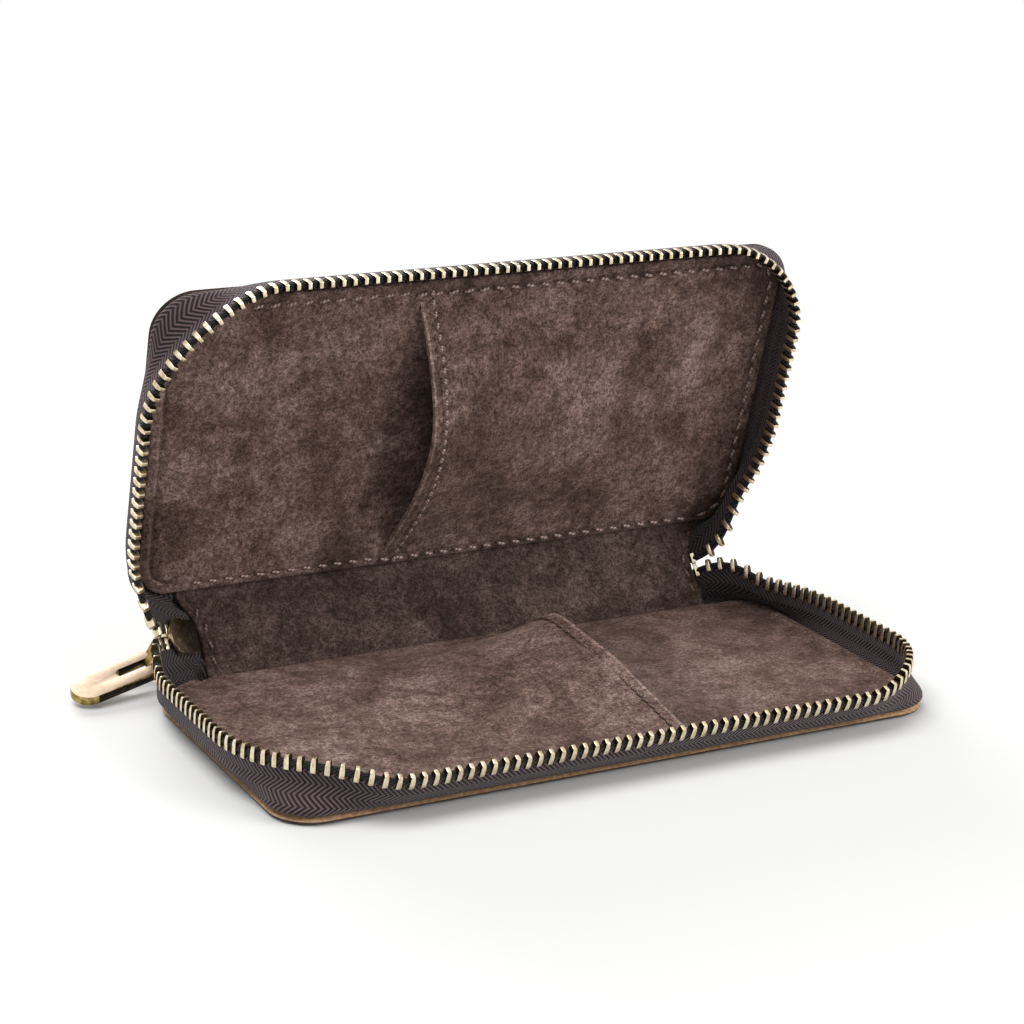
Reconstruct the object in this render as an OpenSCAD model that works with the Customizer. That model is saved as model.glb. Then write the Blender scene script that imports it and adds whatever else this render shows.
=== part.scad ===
// Zipped travel case for two watches: a folded leather cover with a stiff lid, spine and base,
// suede linings and pockets, and a woven gusset closed by a metal zip.
// X runs along the spine, the spine is at +Y, and the base lies on Z = 0.

/* [Case] */
// Length of the case along its spine
case_l = 172; // [160:1:190]
// Depth of the closed case, from its front edge to the outside of the spine
case_w = 86; // [80:1:96]
// Thickness of the closed case
case_t = 27; // [25:0.5:31]
// Radius of the two front corners
corner_r = 10; // [8:0.5:16]
// Radius of the shoulders beside the spine
shoulder_r = 10; // [8:0.5:13]
// Turn of each shoulder towards the spine, in degrees
shoulder_turn = 62; // [56:1:68]
// Distance from the end of the case to the end of the spine
spine_inset = 14.5; // [13.5:0.5:17]

/* [Opening] */
// How far the spine leans out from its closed, upright position, in degrees
spine_open = 37.5; // [30:0.5:45]
// How far the base's front gusset is flared outwards, in degrees
base_flare = 28; // [20:1:34]
// How far the lid's front gusset is flared outwards, in degrees
lid_flare = 15; // [8:1:20]

/* [Layers] */
// Thickness of the leather
leather_t = 1.8; // [1.4:0.1:2.2]
// Thickness of the stiffener boards
board_t = 0.9; // [0.6:0.1:0.9]
// Thickness of the suede
suede_t = 1; // [0.8:0.1:1.4]
// Radius of the rolled leather at each fold
fold_r = 2.2; // [2:0.1:2.6]
// Gap between the folded leather and the panel beside it
fold_gap = 0.3; // [0.2:0.05:0.5]
// Gap between a stiffener board and the tape and fold beside it
board_gap = 0.5; // [0.3:0.1:1]
// Distance from a fold's axis to the ends of the linings
lining_setback = 2.6; // [2.5:0.1:3.4]
// Distance from the edge of the leather to the edge of the lining
lining_inset = 0.8; // [0.4:0.1:1.4]

/* [Gusset] */
// Thickness of the zip tape
tape_t = 0.9; // [0.7:0.1:0.9]
// Width of the tape held between leather and lining
hem_w = 6; // [5:0.25:6.5]
// How far the closed gusset stands out past the cover
gusset_bulge = 4; // [3:0.25:5]
// Diameter of the cord along the tape's edge
cord_d = 1.7; // [1.4:0.1:1.8]
// Gap between the tape's edge and its cord
cord_gap = 0.05; // [0.03:0.01:0.1]
// Gap between the front gusset and the tape at the corners
flap_gap = 0.3; // [0.2:0.05:0.5]
// Distance from the front gusset's fold to the start of its tape
flap_start = 0.55; // [0.5:0.05:0.7]

/* [Zip teeth] */
// Distance from one tooth of a row to the next
tooth_pitch = 2.85; // [2.7:0.05:3.2]
// Width of a tooth along the row
tooth_w = 1.1; // [0.9:0.05:1.2]
// Thickness of a tooth across the tape
tooth_t = 2.6; // [2.5:0.1:3]
// Length of a tooth from the middle of the closed chain to its back
tooth_back = 3.35; // [3.2:0.05:3.8]
// How far a tooth reaches past the middle of the closed chain
tooth_reach = 0.7; // [0.5:0.05:0.8]
// The same reach beside the spine, where the rows meet at a steep angle
near_reach = 0.25; // [0.1:0.05:0.3]
// Distance from the middle of the closed chain to the cord
cord_drop = 1.75; // [1.7:0.05:1.85]
// Gap between a tooth and the cord in it
bite_gap = 0.12; // [0.08:0.02:0.16]

/* [Pockets] */
// Height of the base pocket's raised mouth
base_pocket_h = 8.6; // [7.5:0.1:9]
// Height of the lid pocket's raised mouth
lid_pocket_h = 7.4; // [6.5:0.1:8]
// Distance from the cover's edge to the edge of a pocket
pocket_inset = 2.2; // [1.5:0.1:3]
// Place of the base pocket's mouth at the front edge, along the spine from the middle
base_mouth_front = 15; // [5:1:20]
// How far that mouth leans towards the bare side on its way to the spine
base_mouth_lean = 11; // [4:1:14]
// How far its corner at the spine is rounded back
base_mouth_back = 13; // [8:1:16]
// Place of the lid pocket's mouth, along the spine from the middle
lid_mouth_x = -17; // [-24:1:-8]
// How far that mouth is curved in at half its height
lid_mouth_curve = 7; // [3:1:10]

/* [Slider] */
// Length of the slider
slider_l = 9; // [8:0.25:9.5]
// How far the slider's shoulders stand out past its tail
shoulder_step = 0.75; // [0.5:0.05:1]
// Thickness of the rails along the slider's sides
rail_t = 0.6; // [0.5:0.05:0.8]
// Running gap between the slider's rails and the teeth
rail_gap = 0.2; // [0.15:0.01:0.3]
// Thickness of the slider's plates
plate_t = 0.9; // [0.8:0.1:1]
// Height of the channel between the plates
channel_h = 3.2; // [3.1:0.1:3.6]
// Height of the gap that the tape passes through
tape_slot = 1.5; // [1.4:0.1:1.8]
// Width of the bridge on the slider
bridge_w = 1.3; // [1:0.1:1.4]
// Thickness of the bridge
bridge_t = 0.9; // [0.8:0.1:1.2]
// Height of the eye under the bridge
bridge_eye = 3.1; // [3:0.1:3.3]
// Distance from the slider's middle to the front of its bridge
bridge_front = 2.5; // [2.2:0.1:3]
// Distance from the slider's middle to the back of its bridge
bridge_back = 3.3; // [2.6:0.1:3.8]
// Distance from the end of the spine to the slider
slider_start = 1.7; // [1.6:0.1:2.4]

/* [Pull] */
// Length of the pull
pull_l = 23.4; // [20:0.2:28]
// Width of the pull
pull_w = 9; // [8:0.1:10]
// Thickness of the pull
pull_t = 2.3; // [2.2:0.1:3]
// Width of the slot in the pull
slot_w = 3; // [2.8:0.1:3.4]
// Length of the slot, from the end of the pull
slot_l = 11; // [9:0.2:12]
// Diameter of the cross pin
pin_d = 1.1; // [1:0.05:1.2]
// Distance from the end of the pull to the pin
pin_inset = 1.6; // [1.5:0.1:2]
// Running gap of the pin in the link and of the link in the slot
pin_gap = 0.08; // [0.05:0.01:0.1]
// Distance from the ring's bar to the pin
link_l = 6.2; // [6.1:0.1:6.6]
// Diameter of the ring's bar
bar_d = 1.2; // [1:0.05:1.2]
// Width of the opening in the ring
ring_gap = 3.2; // [3.1:0.1:3.4]
// Thickness of the ring's arms and of its outer bar
ring_t = 1; // [0.8:0.05:1.1]
// Distance from the ring's bar to the inside of its outer bar
ring_l = 3.15; // [3:0.05:3.2]
// How far the ring has slid sideways in the bridge
ring_shift = 0.75; // [0.6:0.05:0.9]
// How far the ring leans over in the bridge, in degrees
ring_lean = 22.5; // [18:0.5:24]
// Slope of the ring where it hangs from the bridge, in degrees
ring_slope = 60; // [54:1:60]
// Turn of the ring towards the back, in degrees
ring_turn = 12; // [8:1:12]
// How far the pull is turned up from the ring, so that it rests its end on the table, in degrees
pull_lift = 54.5; // [54:0.5:57]

/* [Stitching] */
// Distance from the cover's edge to the stitches
stitch_inset = 3.8; // [3:0.1:4.5]
// Distance from one stitch to the next
stitch_pitch = 4.2; // [3.5:0.1:5]
// Length of one stitch
stitch_l = 3.2; // [2.5:0.1:3.4]
// Width of the thread
thread_w = 0.8; // [0.6:0.05:1]
// How far the thread stands out of the surface
thread_h = 0.3; // [0.2:0.05:0.4]
// Distance from the ends of the spine to the stitches across it
spine_stitch_inset = 3; // [2.5:0.1:4]
// Length without stitches at each end of the row round a panel
stitch_stop = 8; // [6:0.5:12]

/* [Hidden] */

$fn = 48;
// Smallest overlap of a cut past the face that it opens
cut = 1;
// Angle between two points of a drawn arc
arc_step = 6;

// Plan of the cover
half_l = case_l / 2;
front_y = -case_w / 2;
back_y = case_w / 2;
spine_half = half_l - spine_inset;
corner_x = half_l - corner_r;
corner_y = front_y + corner_r;
shoulder_x = half_l - shoulder_r;
bevel_x = spine_inset - shoulder_r * (1 - cos(shoulder_turn));
bevel_l = bevel_x / sin(shoulder_turn);
shoulder_y = back_y - shoulder_r * sin(shoulder_turn) - bevel_l * cos(shoulder_turn);

// Layers, measured from the outside of a panel
stack_t = leather_t + tape_t;
panel_t = stack_t + suede_t;
hem_mid = leather_t + tape_t / 2;
mid_z = case_t / 2;

// Folds
fold_y = back_y - fold_r;
fold_z = fold_r;
fold_span = case_t - 2 * fold_r;
board_half = spine_half - hem_w - 2 * board_gap;

// Curve of the gusset: an arc from the hem to the foot of the upright part that holds the cord
tape_end = mid_z - cord_drop - cord_d / 2 - cord_gap;
upright_l = 1;
upright_z = tape_end - upright_l;
chord_x = gusset_bulge;
chord_z = upright_z - hem_mid;
chord = norm([chord_x, chord_z]);
chord_angle = atan2(chord_z, chord_x);
arc_turn = 2 * (90 - chord_angle);
arc_r = chord / (2 * sin(arc_turn / 2));
flap_skip = flap_start * 180 / (PI * arc_r);

// Pockets: the places along the mouth, as shares of it, where its lean ends and where its
// rounded corner starts, the shares that lie flat and are sewn down, the line of its seam, and
// the powers that shape its rise and move its crown towards the spine
pocket_spine_gap = 0.4;
pocket_front = front_y + pocket_inset;
pocket_back = fold_y - lining_setback - pocket_spine_gap;
lean_share = 0.75;
mouth_round = 0.82;
margin_u = 0.05;
margin_v = 0.045;
mouth_seam = 0.965;
rise_power = 1.5;
crown_power = 1.7;
slope_step = 0.02;
stitch_lift = 0.15;
edge_gap = 0.4;

// Chain line: the plan of the cover moved out by the bulge
chain_corner_r = corner_r + gusset_bulge;
chain_shoulder_r = shoulder_r + gusset_bulge;
// The corner tapes stop where the chain nears the fold, so the rows part freely
end_turn = 25;
near_spine = 12;
tooth_taper = 0.5;
hem_gap = 0.1;
base_split = (floor(corner_x / tooth_pitch - 0.5) + 0.5) * tooth_pitch;
lid_split = floor(corner_x / tooth_pitch) * tooth_pitch;
chain_end = corner_x + chain_corner_r * PI / 2 + (shoulder_y - corner_y)
    + chain_shoulder_r * end_turn * PI / 180;

// Tape end at the spine
end_lean = 90 - shoulder_turn;
end_spare = 1.4;
end_l = slider_start + slider_l + end_spare;
end_tape_half = 7.6;
stop_w = 1.1;
stop_inset = 0.35;
stop_gap = 0.55;
top_stop_gap = 0.3;
first_tooth = stop_inset + stop_w + stop_gap + tooth_w / 2;

// Slider: how far its shoulders and rails reach and how blunt its nose is. The lugs are the
// small overlaps that join its solids
shoulder_share = 0.5;
rail_share = 0.55;
nose_blunt = 0.6;
wedge_l = 2.6;
wedge_inset = 0.4;
wedge_front = 0.7;
wedge_wide = 0.9;
wedge_share = 0.6;
lug = 0.05;
bridge_slope = 1.2;
slider_tail_w = 2 * (tooth_back + rail_gap + rail_t);
slider_w = slider_tail_w + 2 * shoulder_step;
slider_half = slider_l / 2;
slider_x = slider_start + slider_half;
channel_half = channel_h / 2;
slider_top = channel_half + plate_t;
eye_gap = 0.2;
bar_share = 0.57;
eye_x = slider_x + bridge_front - bridge_t - bar_d / 2 - eye_gap;
eye_y = slider_top + bridge_eye * bar_share;
stem_gap = 0.25;
stem_r = 0.95;
pin_sink = 0.2;
stem_w = slot_w - 2 * stem_gap;

// A point on the cover's outline moved out by u, at the distance s from the middle of the front:
// [x, y, heading]
function outline_at(s, u) =
    let (r1 = corner_r + u, l1 = r1 * PI / 2, l2 = shoulder_y - corner_y,
         r2 = shoulder_r + u, l3 = r2 * shoulder_turn * PI / 180,
         s1 = s - corner_x, s2 = s1 - l1, s3 = s2 - l2, s4 = s3 - l3,
         a1 = s1 / r1 * 180 / PI, a3 = s3 / r2 * 180 / PI)
    s1 < 0 ? [s, front_y - u, 0]
    : s2 < 0 ? [corner_x + r1 * sin(a1), corner_y - r1 * cos(a1), a1]
    : s3 < 0 ? [half_l + u, corner_y + s2, 90]
    : s4 < 0 ? [shoulder_x + r2 * cos(a3), shoulder_y + r2 * sin(a3), 90 + a3]
    : [shoulder_x + r2 * cos(shoulder_turn) - s4 * sin(shoulder_turn),
       shoulder_y + r2 * sin(shoulder_turn) + s4 * cos(shoulder_turn), 90 + shoulder_turn];
last_stitch = floor((outline_length(-stitch_inset) - stitch_stop) / stitch_pitch);
function outline_length(u) = corner_x + (corner_r + u) * PI / 2 + (shoulder_y - corner_y)
    + (shoulder_r + u) * shoulder_turn * PI / 180 + bevel_l;

// Half length of the outline moved in by d, at the depth y
function edge_x(y, d) =
    let (r1 = corner_r - d, r2 = shoulder_r - d, bevel_y = shoulder_y + r2 * sin(shoulder_turn))
    y < corner_y ? corner_x + sqrt(max(0, r1 * r1 - (corner_y - y) * (corner_y - y)))
    : y < shoulder_y ? half_l - d
    : y < bevel_y ? shoulder_x + sqrt(r2 * r2 - (y - shoulder_y) * (y - shoulder_y))
    : shoulder_x + r2 * cos(shoulder_turn) - (y - bevel_y) * tan(shoulder_turn);

// Right half of a panel's outline moved in by d, from the front round to the bevel's end
function half_outline(d) = concat(
    [for (a = [0:arc_step:90]) [corner_x + (corner_r - d) * sin(a),
                                corner_y - (corner_r - d) * cos(a)]],
    [for (i = [0:10]) let (a = shoulder_turn * i / 10)
        [shoulder_x + (shoulder_r - d) * cos(a), shoulder_y + (shoulder_r - d) * sin(a)]],
    [[edge_x(back_y, d), back_y]]);
function mirrored(points) = [for (i = [len(points) - 1:-1:0]) [-points[i][0], points[i][1]]];

// A flat panel of the outline moved in by d, cut off at y_end
module panel(d, y_end, z, t) {
    points = half_outline(d);
    translate([0, 0, z])
        linear_extrude(t)
            intersection() {
                polygon(concat(points, mirrored(points)));
                translate([-half_l - cut, front_y - cut])
                    square([case_l + 2 * cut, y_end - front_y + cut]);
            }
}

// Places of the moving panels in the half open case
module at_spine() {
    translate([0, fold_y, fold_z]) rotate([-spine_open, 0, 0]) translate([0, -fold_y, -fold_z])
        children();
}
module at_lid() {
    at_spine()
        translate([0, fold_y, case_t - fold_r]) rotate([-spine_open, 0, 0])
            translate([0, -fold_y, fold_r]) mirror([0, 0, 1]) children();
}
module flared(angle) {
    translate([0, front_y, hem_mid]) rotate([angle, 0, 0]) translate([0, -front_y, -hem_mid])
        children();
}
module both_ends() {
    children();
    mirror([1, 0, 0]) children();
}

// Leather of a panel, hollowed beside the fold for the rolled leather
module cover() {
    difference() {
        panel(0, back_y, 0, leather_t);
        translate([-spine_half - fold_gap, fold_y, fold_z]) rotate([0, 90, 0])
            cylinder(r = fold_r + fold_gap, h = 2 * (spine_half + fold_gap));
        translate([-spine_half - fold_gap, fold_y, -cut])
            cube([2 * (spine_half + fold_gap), fold_r + cut, leather_t + 2 * cut]);
    }
}
module board() {
    panel(hem_w + board_gap, fold_y - lining_setback - board_gap, leather_t, board_t);
}
module lining() {
    panel(lining_inset, fold_y - lining_setback, stack_t, suede_t);
}

// Section of the tape that stands out of the hem: X outwards from the cover's edge, Y up
module tape_section(skip) {
    span = arc_turn - skip;
    steps = 7;
    outer = [for (i = [0:steps]) let (a = -span + span * i / steps)
        [gusset_bulge - arc_r + (arc_r + tape_t / 2) * cos(a),
         upright_z + (arc_r + tape_t / 2) * sin(a)]];
    inner = [for (i = [steps:-1:0]) let (a = -span + span * i / steps)
        [gusset_bulge - arc_r + (arc_r - tape_t / 2) * cos(a),
         upright_z + (arc_r - tape_t / 2) * sin(a)]];
    polygon(concat(outer, [[gusset_bulge + tape_t / 2, tape_end],
                           [gusset_bulge - tape_t / 2, tape_end]], inner));
}
module hem_section() {
    translate([-hem_w, leather_t]) square([hem_w, tape_t]);
}
module cord_section() {
    translate([gusset_bulge, mid_z - cord_drop]) circle(d = cord_d, $fn = 24);
}

// Sweeps a section along the right side: the front from x = from_x, the corner, the side and
// the shoulder up to end_turn
module swept_side(from_x) {
    translate([from_x, front_y, 0]) rotate([90, 0, 90])
        linear_extrude(corner_x - from_x) mirror([1, 0]) children();
    translate([corner_x, corner_y, 0]) rotate([0, 0, -90])
        rotate_extrude(angle = 90) translate([corner_r, 0]) children();
    translate([half_l, shoulder_y, 0]) rotate([90, 0, 0])
        linear_extrude(shoulder_y - corner_y) children();
    translate([shoulder_x, shoulder_y, 0])
        rotate_extrude(angle = end_turn) translate([shoulder_r, 0]) children();
}
module side_tape(split) {
    both_ends() {
        swept_side(split + flap_gap / 2) tape_section(0);
        swept_side(split + flap_gap / 2) hem_section();
    }
    translate([-split - flap_gap, front_y + hem_gap, leather_t])
        cube([2 * (split + flap_gap), hem_w - hem_gap, tape_t]);
}
module side_cord(split) {
    both_ends() swept_side(split + flap_gap / 2) cord_section();
}
module front_strip(split) {
    translate([-split + flap_gap / 2, front_y, 0]) rotate([90, 0, 90])
        linear_extrude(2 * split - flap_gap) mirror([1, 0]) children();
}

// One tooth, with its jaws round the cord and its head over the middle of the chain
module tooth(reach) {
    half = tooth_t / 2;
    slot = tape_t / 2 + bite_gap;
    jaw = cord_d / 2 + bite_gap;
    low = -cord_drop - jaw;
    high = -cord_drop + jaw;
    tip = half - tooth_taper;
    translate([-tooth_w / 2, 0, 0]) rotate([90, 0, 90]) linear_extrude(tooth_w)
        polygon([[slot, -tooth_back], [half, -tooth_back], [half, high], [tip, reach],
                 [-tip, reach], [-half, high], [-half, -tooth_back], [-slot, -tooth_back],
                 [-slot, low], [-jaw, low], [-jaw, high], [jaw, high], [jaw, low], [slot, low]]);
}
function reach_at(y) = fold_y - y > near_spine ? tooth_reach : near_reach;
module front_teeth(split, shift) {
    count = floor((split - tooth_w / 2) / tooth_pitch - shift);
    for (k = [0:count], side = [-1, 1])
        if (k + shift > 0 || side > 0)
            translate([side * (k + shift) * tooth_pitch, front_y - gusset_bulge, mid_z])
                tooth(tooth_reach);
}
module side_teeth(split, shift) {
    first = ceil((split + tooth_w / 2) / tooth_pitch - shift);
    last = floor((chain_end - tooth_w / 2) / tooth_pitch - shift);
    both_ends()
        for (k = [first:last]) {
            p = outline_at((k + shift) * tooth_pitch, gusset_bulge);
            translate([p[0], p[1], mid_z]) rotate([0, 0, p[2]]) tooth(reach_at(p[1]));
        }
}

// Pockets. The base's covers the left of its panel and the lid's the right. v runs from the
// front edge to the spine, and u from the closed end to the mouth
function pocket_y(v) = pocket_front + v * (pocket_back - pocket_front);
function pocket_v(y) = (y - pocket_front) / (pocket_back - pocket_front);
function mouth_x(on_lid, v) =
    on_lid ? lid_mouth_x + lid_mouth_curve * sin(180 * v)
    : base_mouth_front + base_mouth_lean * sin(90 * min(1, v / lean_share))
        - (v < mouth_round ? 0
            : base_mouth_back * (1 - cos(90 * (v - mouth_round) / (1 - mouth_round))));
function in_margin(t, low, high) = max(0, min(1, (t - low) / (high - low)));
function pocket_rise(on_lid, u, v) =
    let (across = in_margin(v, margin_v, 1 - margin_v), along = in_margin(u, margin_u, 1))
    on_lid ? lid_pocket_h * pow(along, rise_power) * sin(180 * across)
    : base_pocket_h * pow(along, rise_power) * sin(180 * pow(across, crown_power));
function pocket_at(on_lid, u, v) =
    let (y = pocket_y(v), closed_x = (on_lid ? 1 : -1) * edge_x(y, pocket_inset))
    [closed_x + u * (mouth_x(on_lid, v) - closed_x), y, panel_t + pocket_rise(on_lid, u, v)];
function in_pocket(on_lid, x, y) =
    let (m = mouth_x(on_lid, max(0, min(1, pocket_v(y))))) on_lid ? x > m : x < m;

module pocket(on_lid) {
    nu = 12;
    nv = 16;
    us = concat([0], [for (i = [0:nu - 1]) margin_u + (1 - margin_u) * i / (nu - 1)]);
    vs = concat([0], [for (j = [0:nv - 2]) margin_v + (1 - 2 * margin_v) * j / (nv - 2)], [1]);
    under = [for (u = us, v = vs) pocket_at(on_lid, u, v)];
    over = [for (p = under) p + [0, 0, suede_t]];
    n = len(under);
    row = nv + 1;
    faces = concat(
        [for (i = [0:nu - 1], j = [0:nv - 1], h = [0, 1]) let (a = i * row + j)
            h == 0 ? [a, a + 1, a + row] : [a + 1, a + row + 1, a + row]],
        [for (i = [0:nu - 1], j = [0:nv - 1], h = [0, 1]) let (a = n + i * row + j)
            h == 0 ? [a, a + row, a + 1] : [a + 1, a + row, a + row + 1]],
        [for (j = [0:nv - 1], h = [0, 1]) let (a = j)
            h == 0 ? [a, n + a, a + 1] : [a + 1, n + a, n + a + 1]],
        [for (j = [0:nv - 1], h = [0, 1]) let (a = nu * row + j)
            h == 0 ? [a, a + 1, n + a] : [a + 1, n + a + 1, n + a]],
        [for (i = [0:nu - 1], h = [0, 1]) let (a = i * row)
            h == 0 ? [a, a + row, n + a] : [a + row, n + a + row, n + a]],
        [for (i = [0:nu - 1], h = [0, 1]) let (a = i * row + nv)
            h == 0 ? [a, n + a, a + row] : [a + row, n + a, n + a + row]]);
    polyhedron(concat(under, over),
        on_lid ? faces : [for (f = faces) [f[2], f[1], f[0]]], convexity = 6);
}

module stitch() {
    translate([-stitch_l / 2, -thread_w / 2, 0]) cube([stitch_l, thread_w, thread_h]);
}
// The row of stitches round a panel, on the lining and, where it has one, on the pocket. None
// lies across the pocket's edge
module edge_stitches(on_lid) {
    half = stitch_l / 2 + edge_gap;
    for (k = [0:last_stitch], side = [-1, 1]) {
        p = outline_at((k + 0.5) * stitch_pitch, -stitch_inset);
        x = side * p[0];
        on_pocket = in_pocket(on_lid, x - half, p[1]) && in_pocket(on_lid, x + half, p[1]);
        off_pocket = !in_pocket(on_lid, x - half, p[1]) && !in_pocket(on_lid, x + half, p[1]);
        if (on_pocket || off_pocket)
            translate([x, p[1], panel_t + (on_pocket ? suede_t : 0)])
                rotate([0, 0, side * p[2]]) stitch();
    }
}
// The same row on the leather
module cover_stitches() {
    for (k = [0:last_stitch], side = [-1, 1]) {
        p = outline_at((k + 0.5) * stitch_pitch, -stitch_inset);
        translate([side * p[0], p[1], -thread_h]) rotate([0, 0, side * p[2]]) stitch();
    }
}
// Stitches along a pocket's mouth, each lying on the slope under it
module mouth_stitches(on_lid) {
    count = floor((pocket_back - pocket_front) / stitch_pitch);
    for (k = [1:count - 2]) {
        v = (k + 0.5) / count;
        p = pocket_at(on_lid, mouth_seam, v);
        d = pocket_at(on_lid, mouth_seam, v + slope_step) - pocket_at(on_lid, mouth_seam, v - slope_step);
        translate(p + [0, 0, suede_t + stitch_lift])
            rotate([0, -atan2(d[2], norm([d[0], d[1]])), atan2(d[1], d[0])]) stitch();
    }
}

leather_colour = "#5b4a43";
suede_colour = "#64534a";
tape_colour = "#3a2d30";
board_colour = "#8a7a63";
brass_colour = "#b8a986";
thread_colour = "#8a6a62";

module base_cover() { color(leather_colour) cover(); }
module lid_cover() { color(leather_colour) at_lid() cover(); }
module base_board() { color(board_colour) board(); }
module lid_board() { color(board_colour) at_lid() board(); }
module base_lining() { color(suede_colour) lining(); }
module lid_lining() { color(suede_colour) at_lid() lining(); }

module base_pocket() { color(suede_colour) pocket(false); }
module lid_pocket() { color(suede_colour) at_lid() pocket(true); }
module base_stitching() { color(thread_colour) edge_stitches(false); }
module lid_stitching() { color(thread_colour) at_lid() edge_stitches(true); }
module lid_cover_stitching() { color(thread_colour) at_lid() cover_stitches(); }
module base_pocket_stitching() { color(thread_colour) mouth_stitches(false); }
module lid_pocket_stitching() { color(thread_colour) at_lid() mouth_stitches(true); }
// Rows across the ends of the spine, on the leather and on the lining
module spine_stitching() {
    count = floor((fold_span - 2 * lining_setback) / stitch_pitch);
    color(thread_colour) at_spine()
        for (k = [0:count - 1], side = [-1, 1], y = [back_y, back_y - panel_t - thread_h])
            translate([side * (spine_half - spine_stitch_inset) - thread_w / 2, y,
                       mid_z + (k - (count - 1) / 2) * stitch_pitch - stitch_l / 2])
                cube([thread_w, thread_h, stitch_l]);
}

module spine_cover() {
    color(leather_colour) at_spine() {
        translate([-spine_half, back_y - leather_t, fold_z])
            cube([2 * spine_half, leather_t, fold_span]);
        for (z = [fold_z, case_t - fold_r])
            translate([-spine_half, fold_y, z]) rotate([0, 90, 0])
                cylinder(r = fold_r, h = 2 * spine_half);
    }
}
module spine_board() {
    color(board_colour) at_spine()
        translate([-board_half, back_y - leather_t - board_t, fold_z + lining_setback])
            cube([2 * board_half, board_t, fold_span - 2 * lining_setback]);
}
module spine_lining() {
    color(suede_colour) at_spine()
        translate([-spine_half + lining_inset, back_y - panel_t, fold_z + lining_setback])
            cube([2 * (spine_half - lining_inset), suede_t, fold_span - 2 * lining_setback]);
}

module base_tape() { color(tape_colour) side_tape(base_split); }
module lid_tape() { color(tape_colour) at_lid() side_tape(lid_split); }
module base_cord() { color(tape_colour) side_cord(base_split); }
module lid_cord() { color(tape_colour) at_lid() side_cord(lid_split); }
module base_teeth() { color(brass_colour) side_teeth(base_split, 0); }
module lid_teeth() { color(brass_colour) at_lid() side_teeth(lid_split, 0.5); }
module base_front_tape() {
    color(tape_colour) flared(base_flare) front_strip(base_split) tape_section(flap_skip);
}
module lid_front_tape() {
    color(tape_colour) at_lid() flared(lid_flare) front_strip(lid_split) tape_section(flap_skip);
}
module base_front_cord() {
    color(tape_colour) flared(base_flare) front_strip(base_split) cord_section();
}
module lid_front_cord() {
    color(tape_colour) at_lid() flared(lid_flare) front_strip(lid_split) cord_section();
}
module base_front_teeth() { color(brass_colour) flared(base_flare) front_teeth(base_split, 0); }
module lid_front_teeth() {
    color(brass_colour) at_lid() flared(lid_flare) front_teeth(lid_split, 0.5);
}

// Frame of a tape end: X outwards along the tape, Y away from the case, Z down the spine
module at_left_end() {
    at_spine() translate([-spine_half, back_y - hem_mid, mid_z])
        rotate([0, 0, end_lean]) rotate([0, 180, 0]) children();
}
module at_right_end() {
    at_spine() mirror([1, 0, 0]) translate([-spine_half, back_y - hem_mid, mid_z])
        rotate([0, 0, end_lean]) rotate([0, 180, 0]) children();
}
// The two tapes' ends: joined under the spine's end and apart beyond it, for the chain
module tape_end() {
    gap = cord_drop + cord_d / 2 + cord_gap;
    for (side = [-1, 1]) {
        translate([0, -tape_t / 2, side > 0 ? gap : -end_tape_half])
            cube([end_l, tape_t, end_tape_half - gap]);
        translate([0, 0, side > 0 ? gap : -end_tape_half])
            cylinder(d = tape_t, h = end_tape_half - gap, $fn = 24);
        translate([0, 0, side * cord_drop]) rotate([0, 90, 0])
            cylinder(d = cord_d, h = end_l, $fn = 24);
    }
    rotate([0, 0, end_lean])
        translate([-hem_w, -tape_t / 2, -end_tape_half])
            cube([hem_w, tape_t, 2 * end_tape_half]);
}
module end_teeth(count) {
    for (k = [0:count - 1]) {
        translate([first_tooth + k * tooth_pitch, 0, 0]) tooth(tooth_reach);
        translate([first_tooth + (k + 0.5) * tooth_pitch, 0, 0])
            mirror([0, 0, 1]) tooth(tooth_reach);
    }
}
module left_tape_end() { color(tape_colour) at_left_end() tape_end(); }
module right_tape_end() { color(tape_colour) at_right_end() tape_end(); }
module left_end_teeth() { color(brass_colour) at_left_end() end_teeth(2); }
module right_end_teeth() { color(brass_colour) at_right_end() end_teeth(3); }
// A staple across both tapes
module bottom_stop() {
    color(brass_colour) at_left_end()
        translate([stop_inset, 0, 0]) difference() {
            translate([0, -tooth_t / 2, -tooth_back]) cube([stop_w, tooth_t, 2 * tooth_back]);
            for (side = [-1, 1])
                translate([-cut, -cord_d / 2 - bite_gap, side * cord_drop - cord_d / 2 - bite_gap])
                    cube([stop_w + 2 * cut, cord_d + 2 * bite_gap, cord_d + 2 * bite_gap]);
            for (side = [0, 1]) mirror([0, 0, side])
                translate([-cut, -tape_t / 2 - bite_gap, cord_drop])
                    cube([stop_w + 2 * cut, tape_t + 2 * bite_gap, tooth_back]);
        }
}
// A clamp on each tape's cord
module top_stops() {
    color(brass_colour) at_right_end()
        for (side = [0, 1]) mirror([0, 0, side])
            translate([stop_inset, 0, 0]) difference() {
                translate([0, -tooth_t / 2, top_stop_gap])
                    cube([stop_w, tooth_t, tooth_back - top_stop_gap]);
                translate([-cut, -cord_d / 2 - bite_gap, cord_drop - cord_d / 2 - bite_gap])
                    cube([stop_w + 2 * cut, cord_d + 2 * bite_gap, cord_d + 2 * bite_gap]);
                translate([-cut, -tape_t / 2 - bite_gap, cord_drop])
                    cube([stop_w + 2 * cut, tape_t + 2 * bite_gap, tooth_back]);
            }
}

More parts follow.
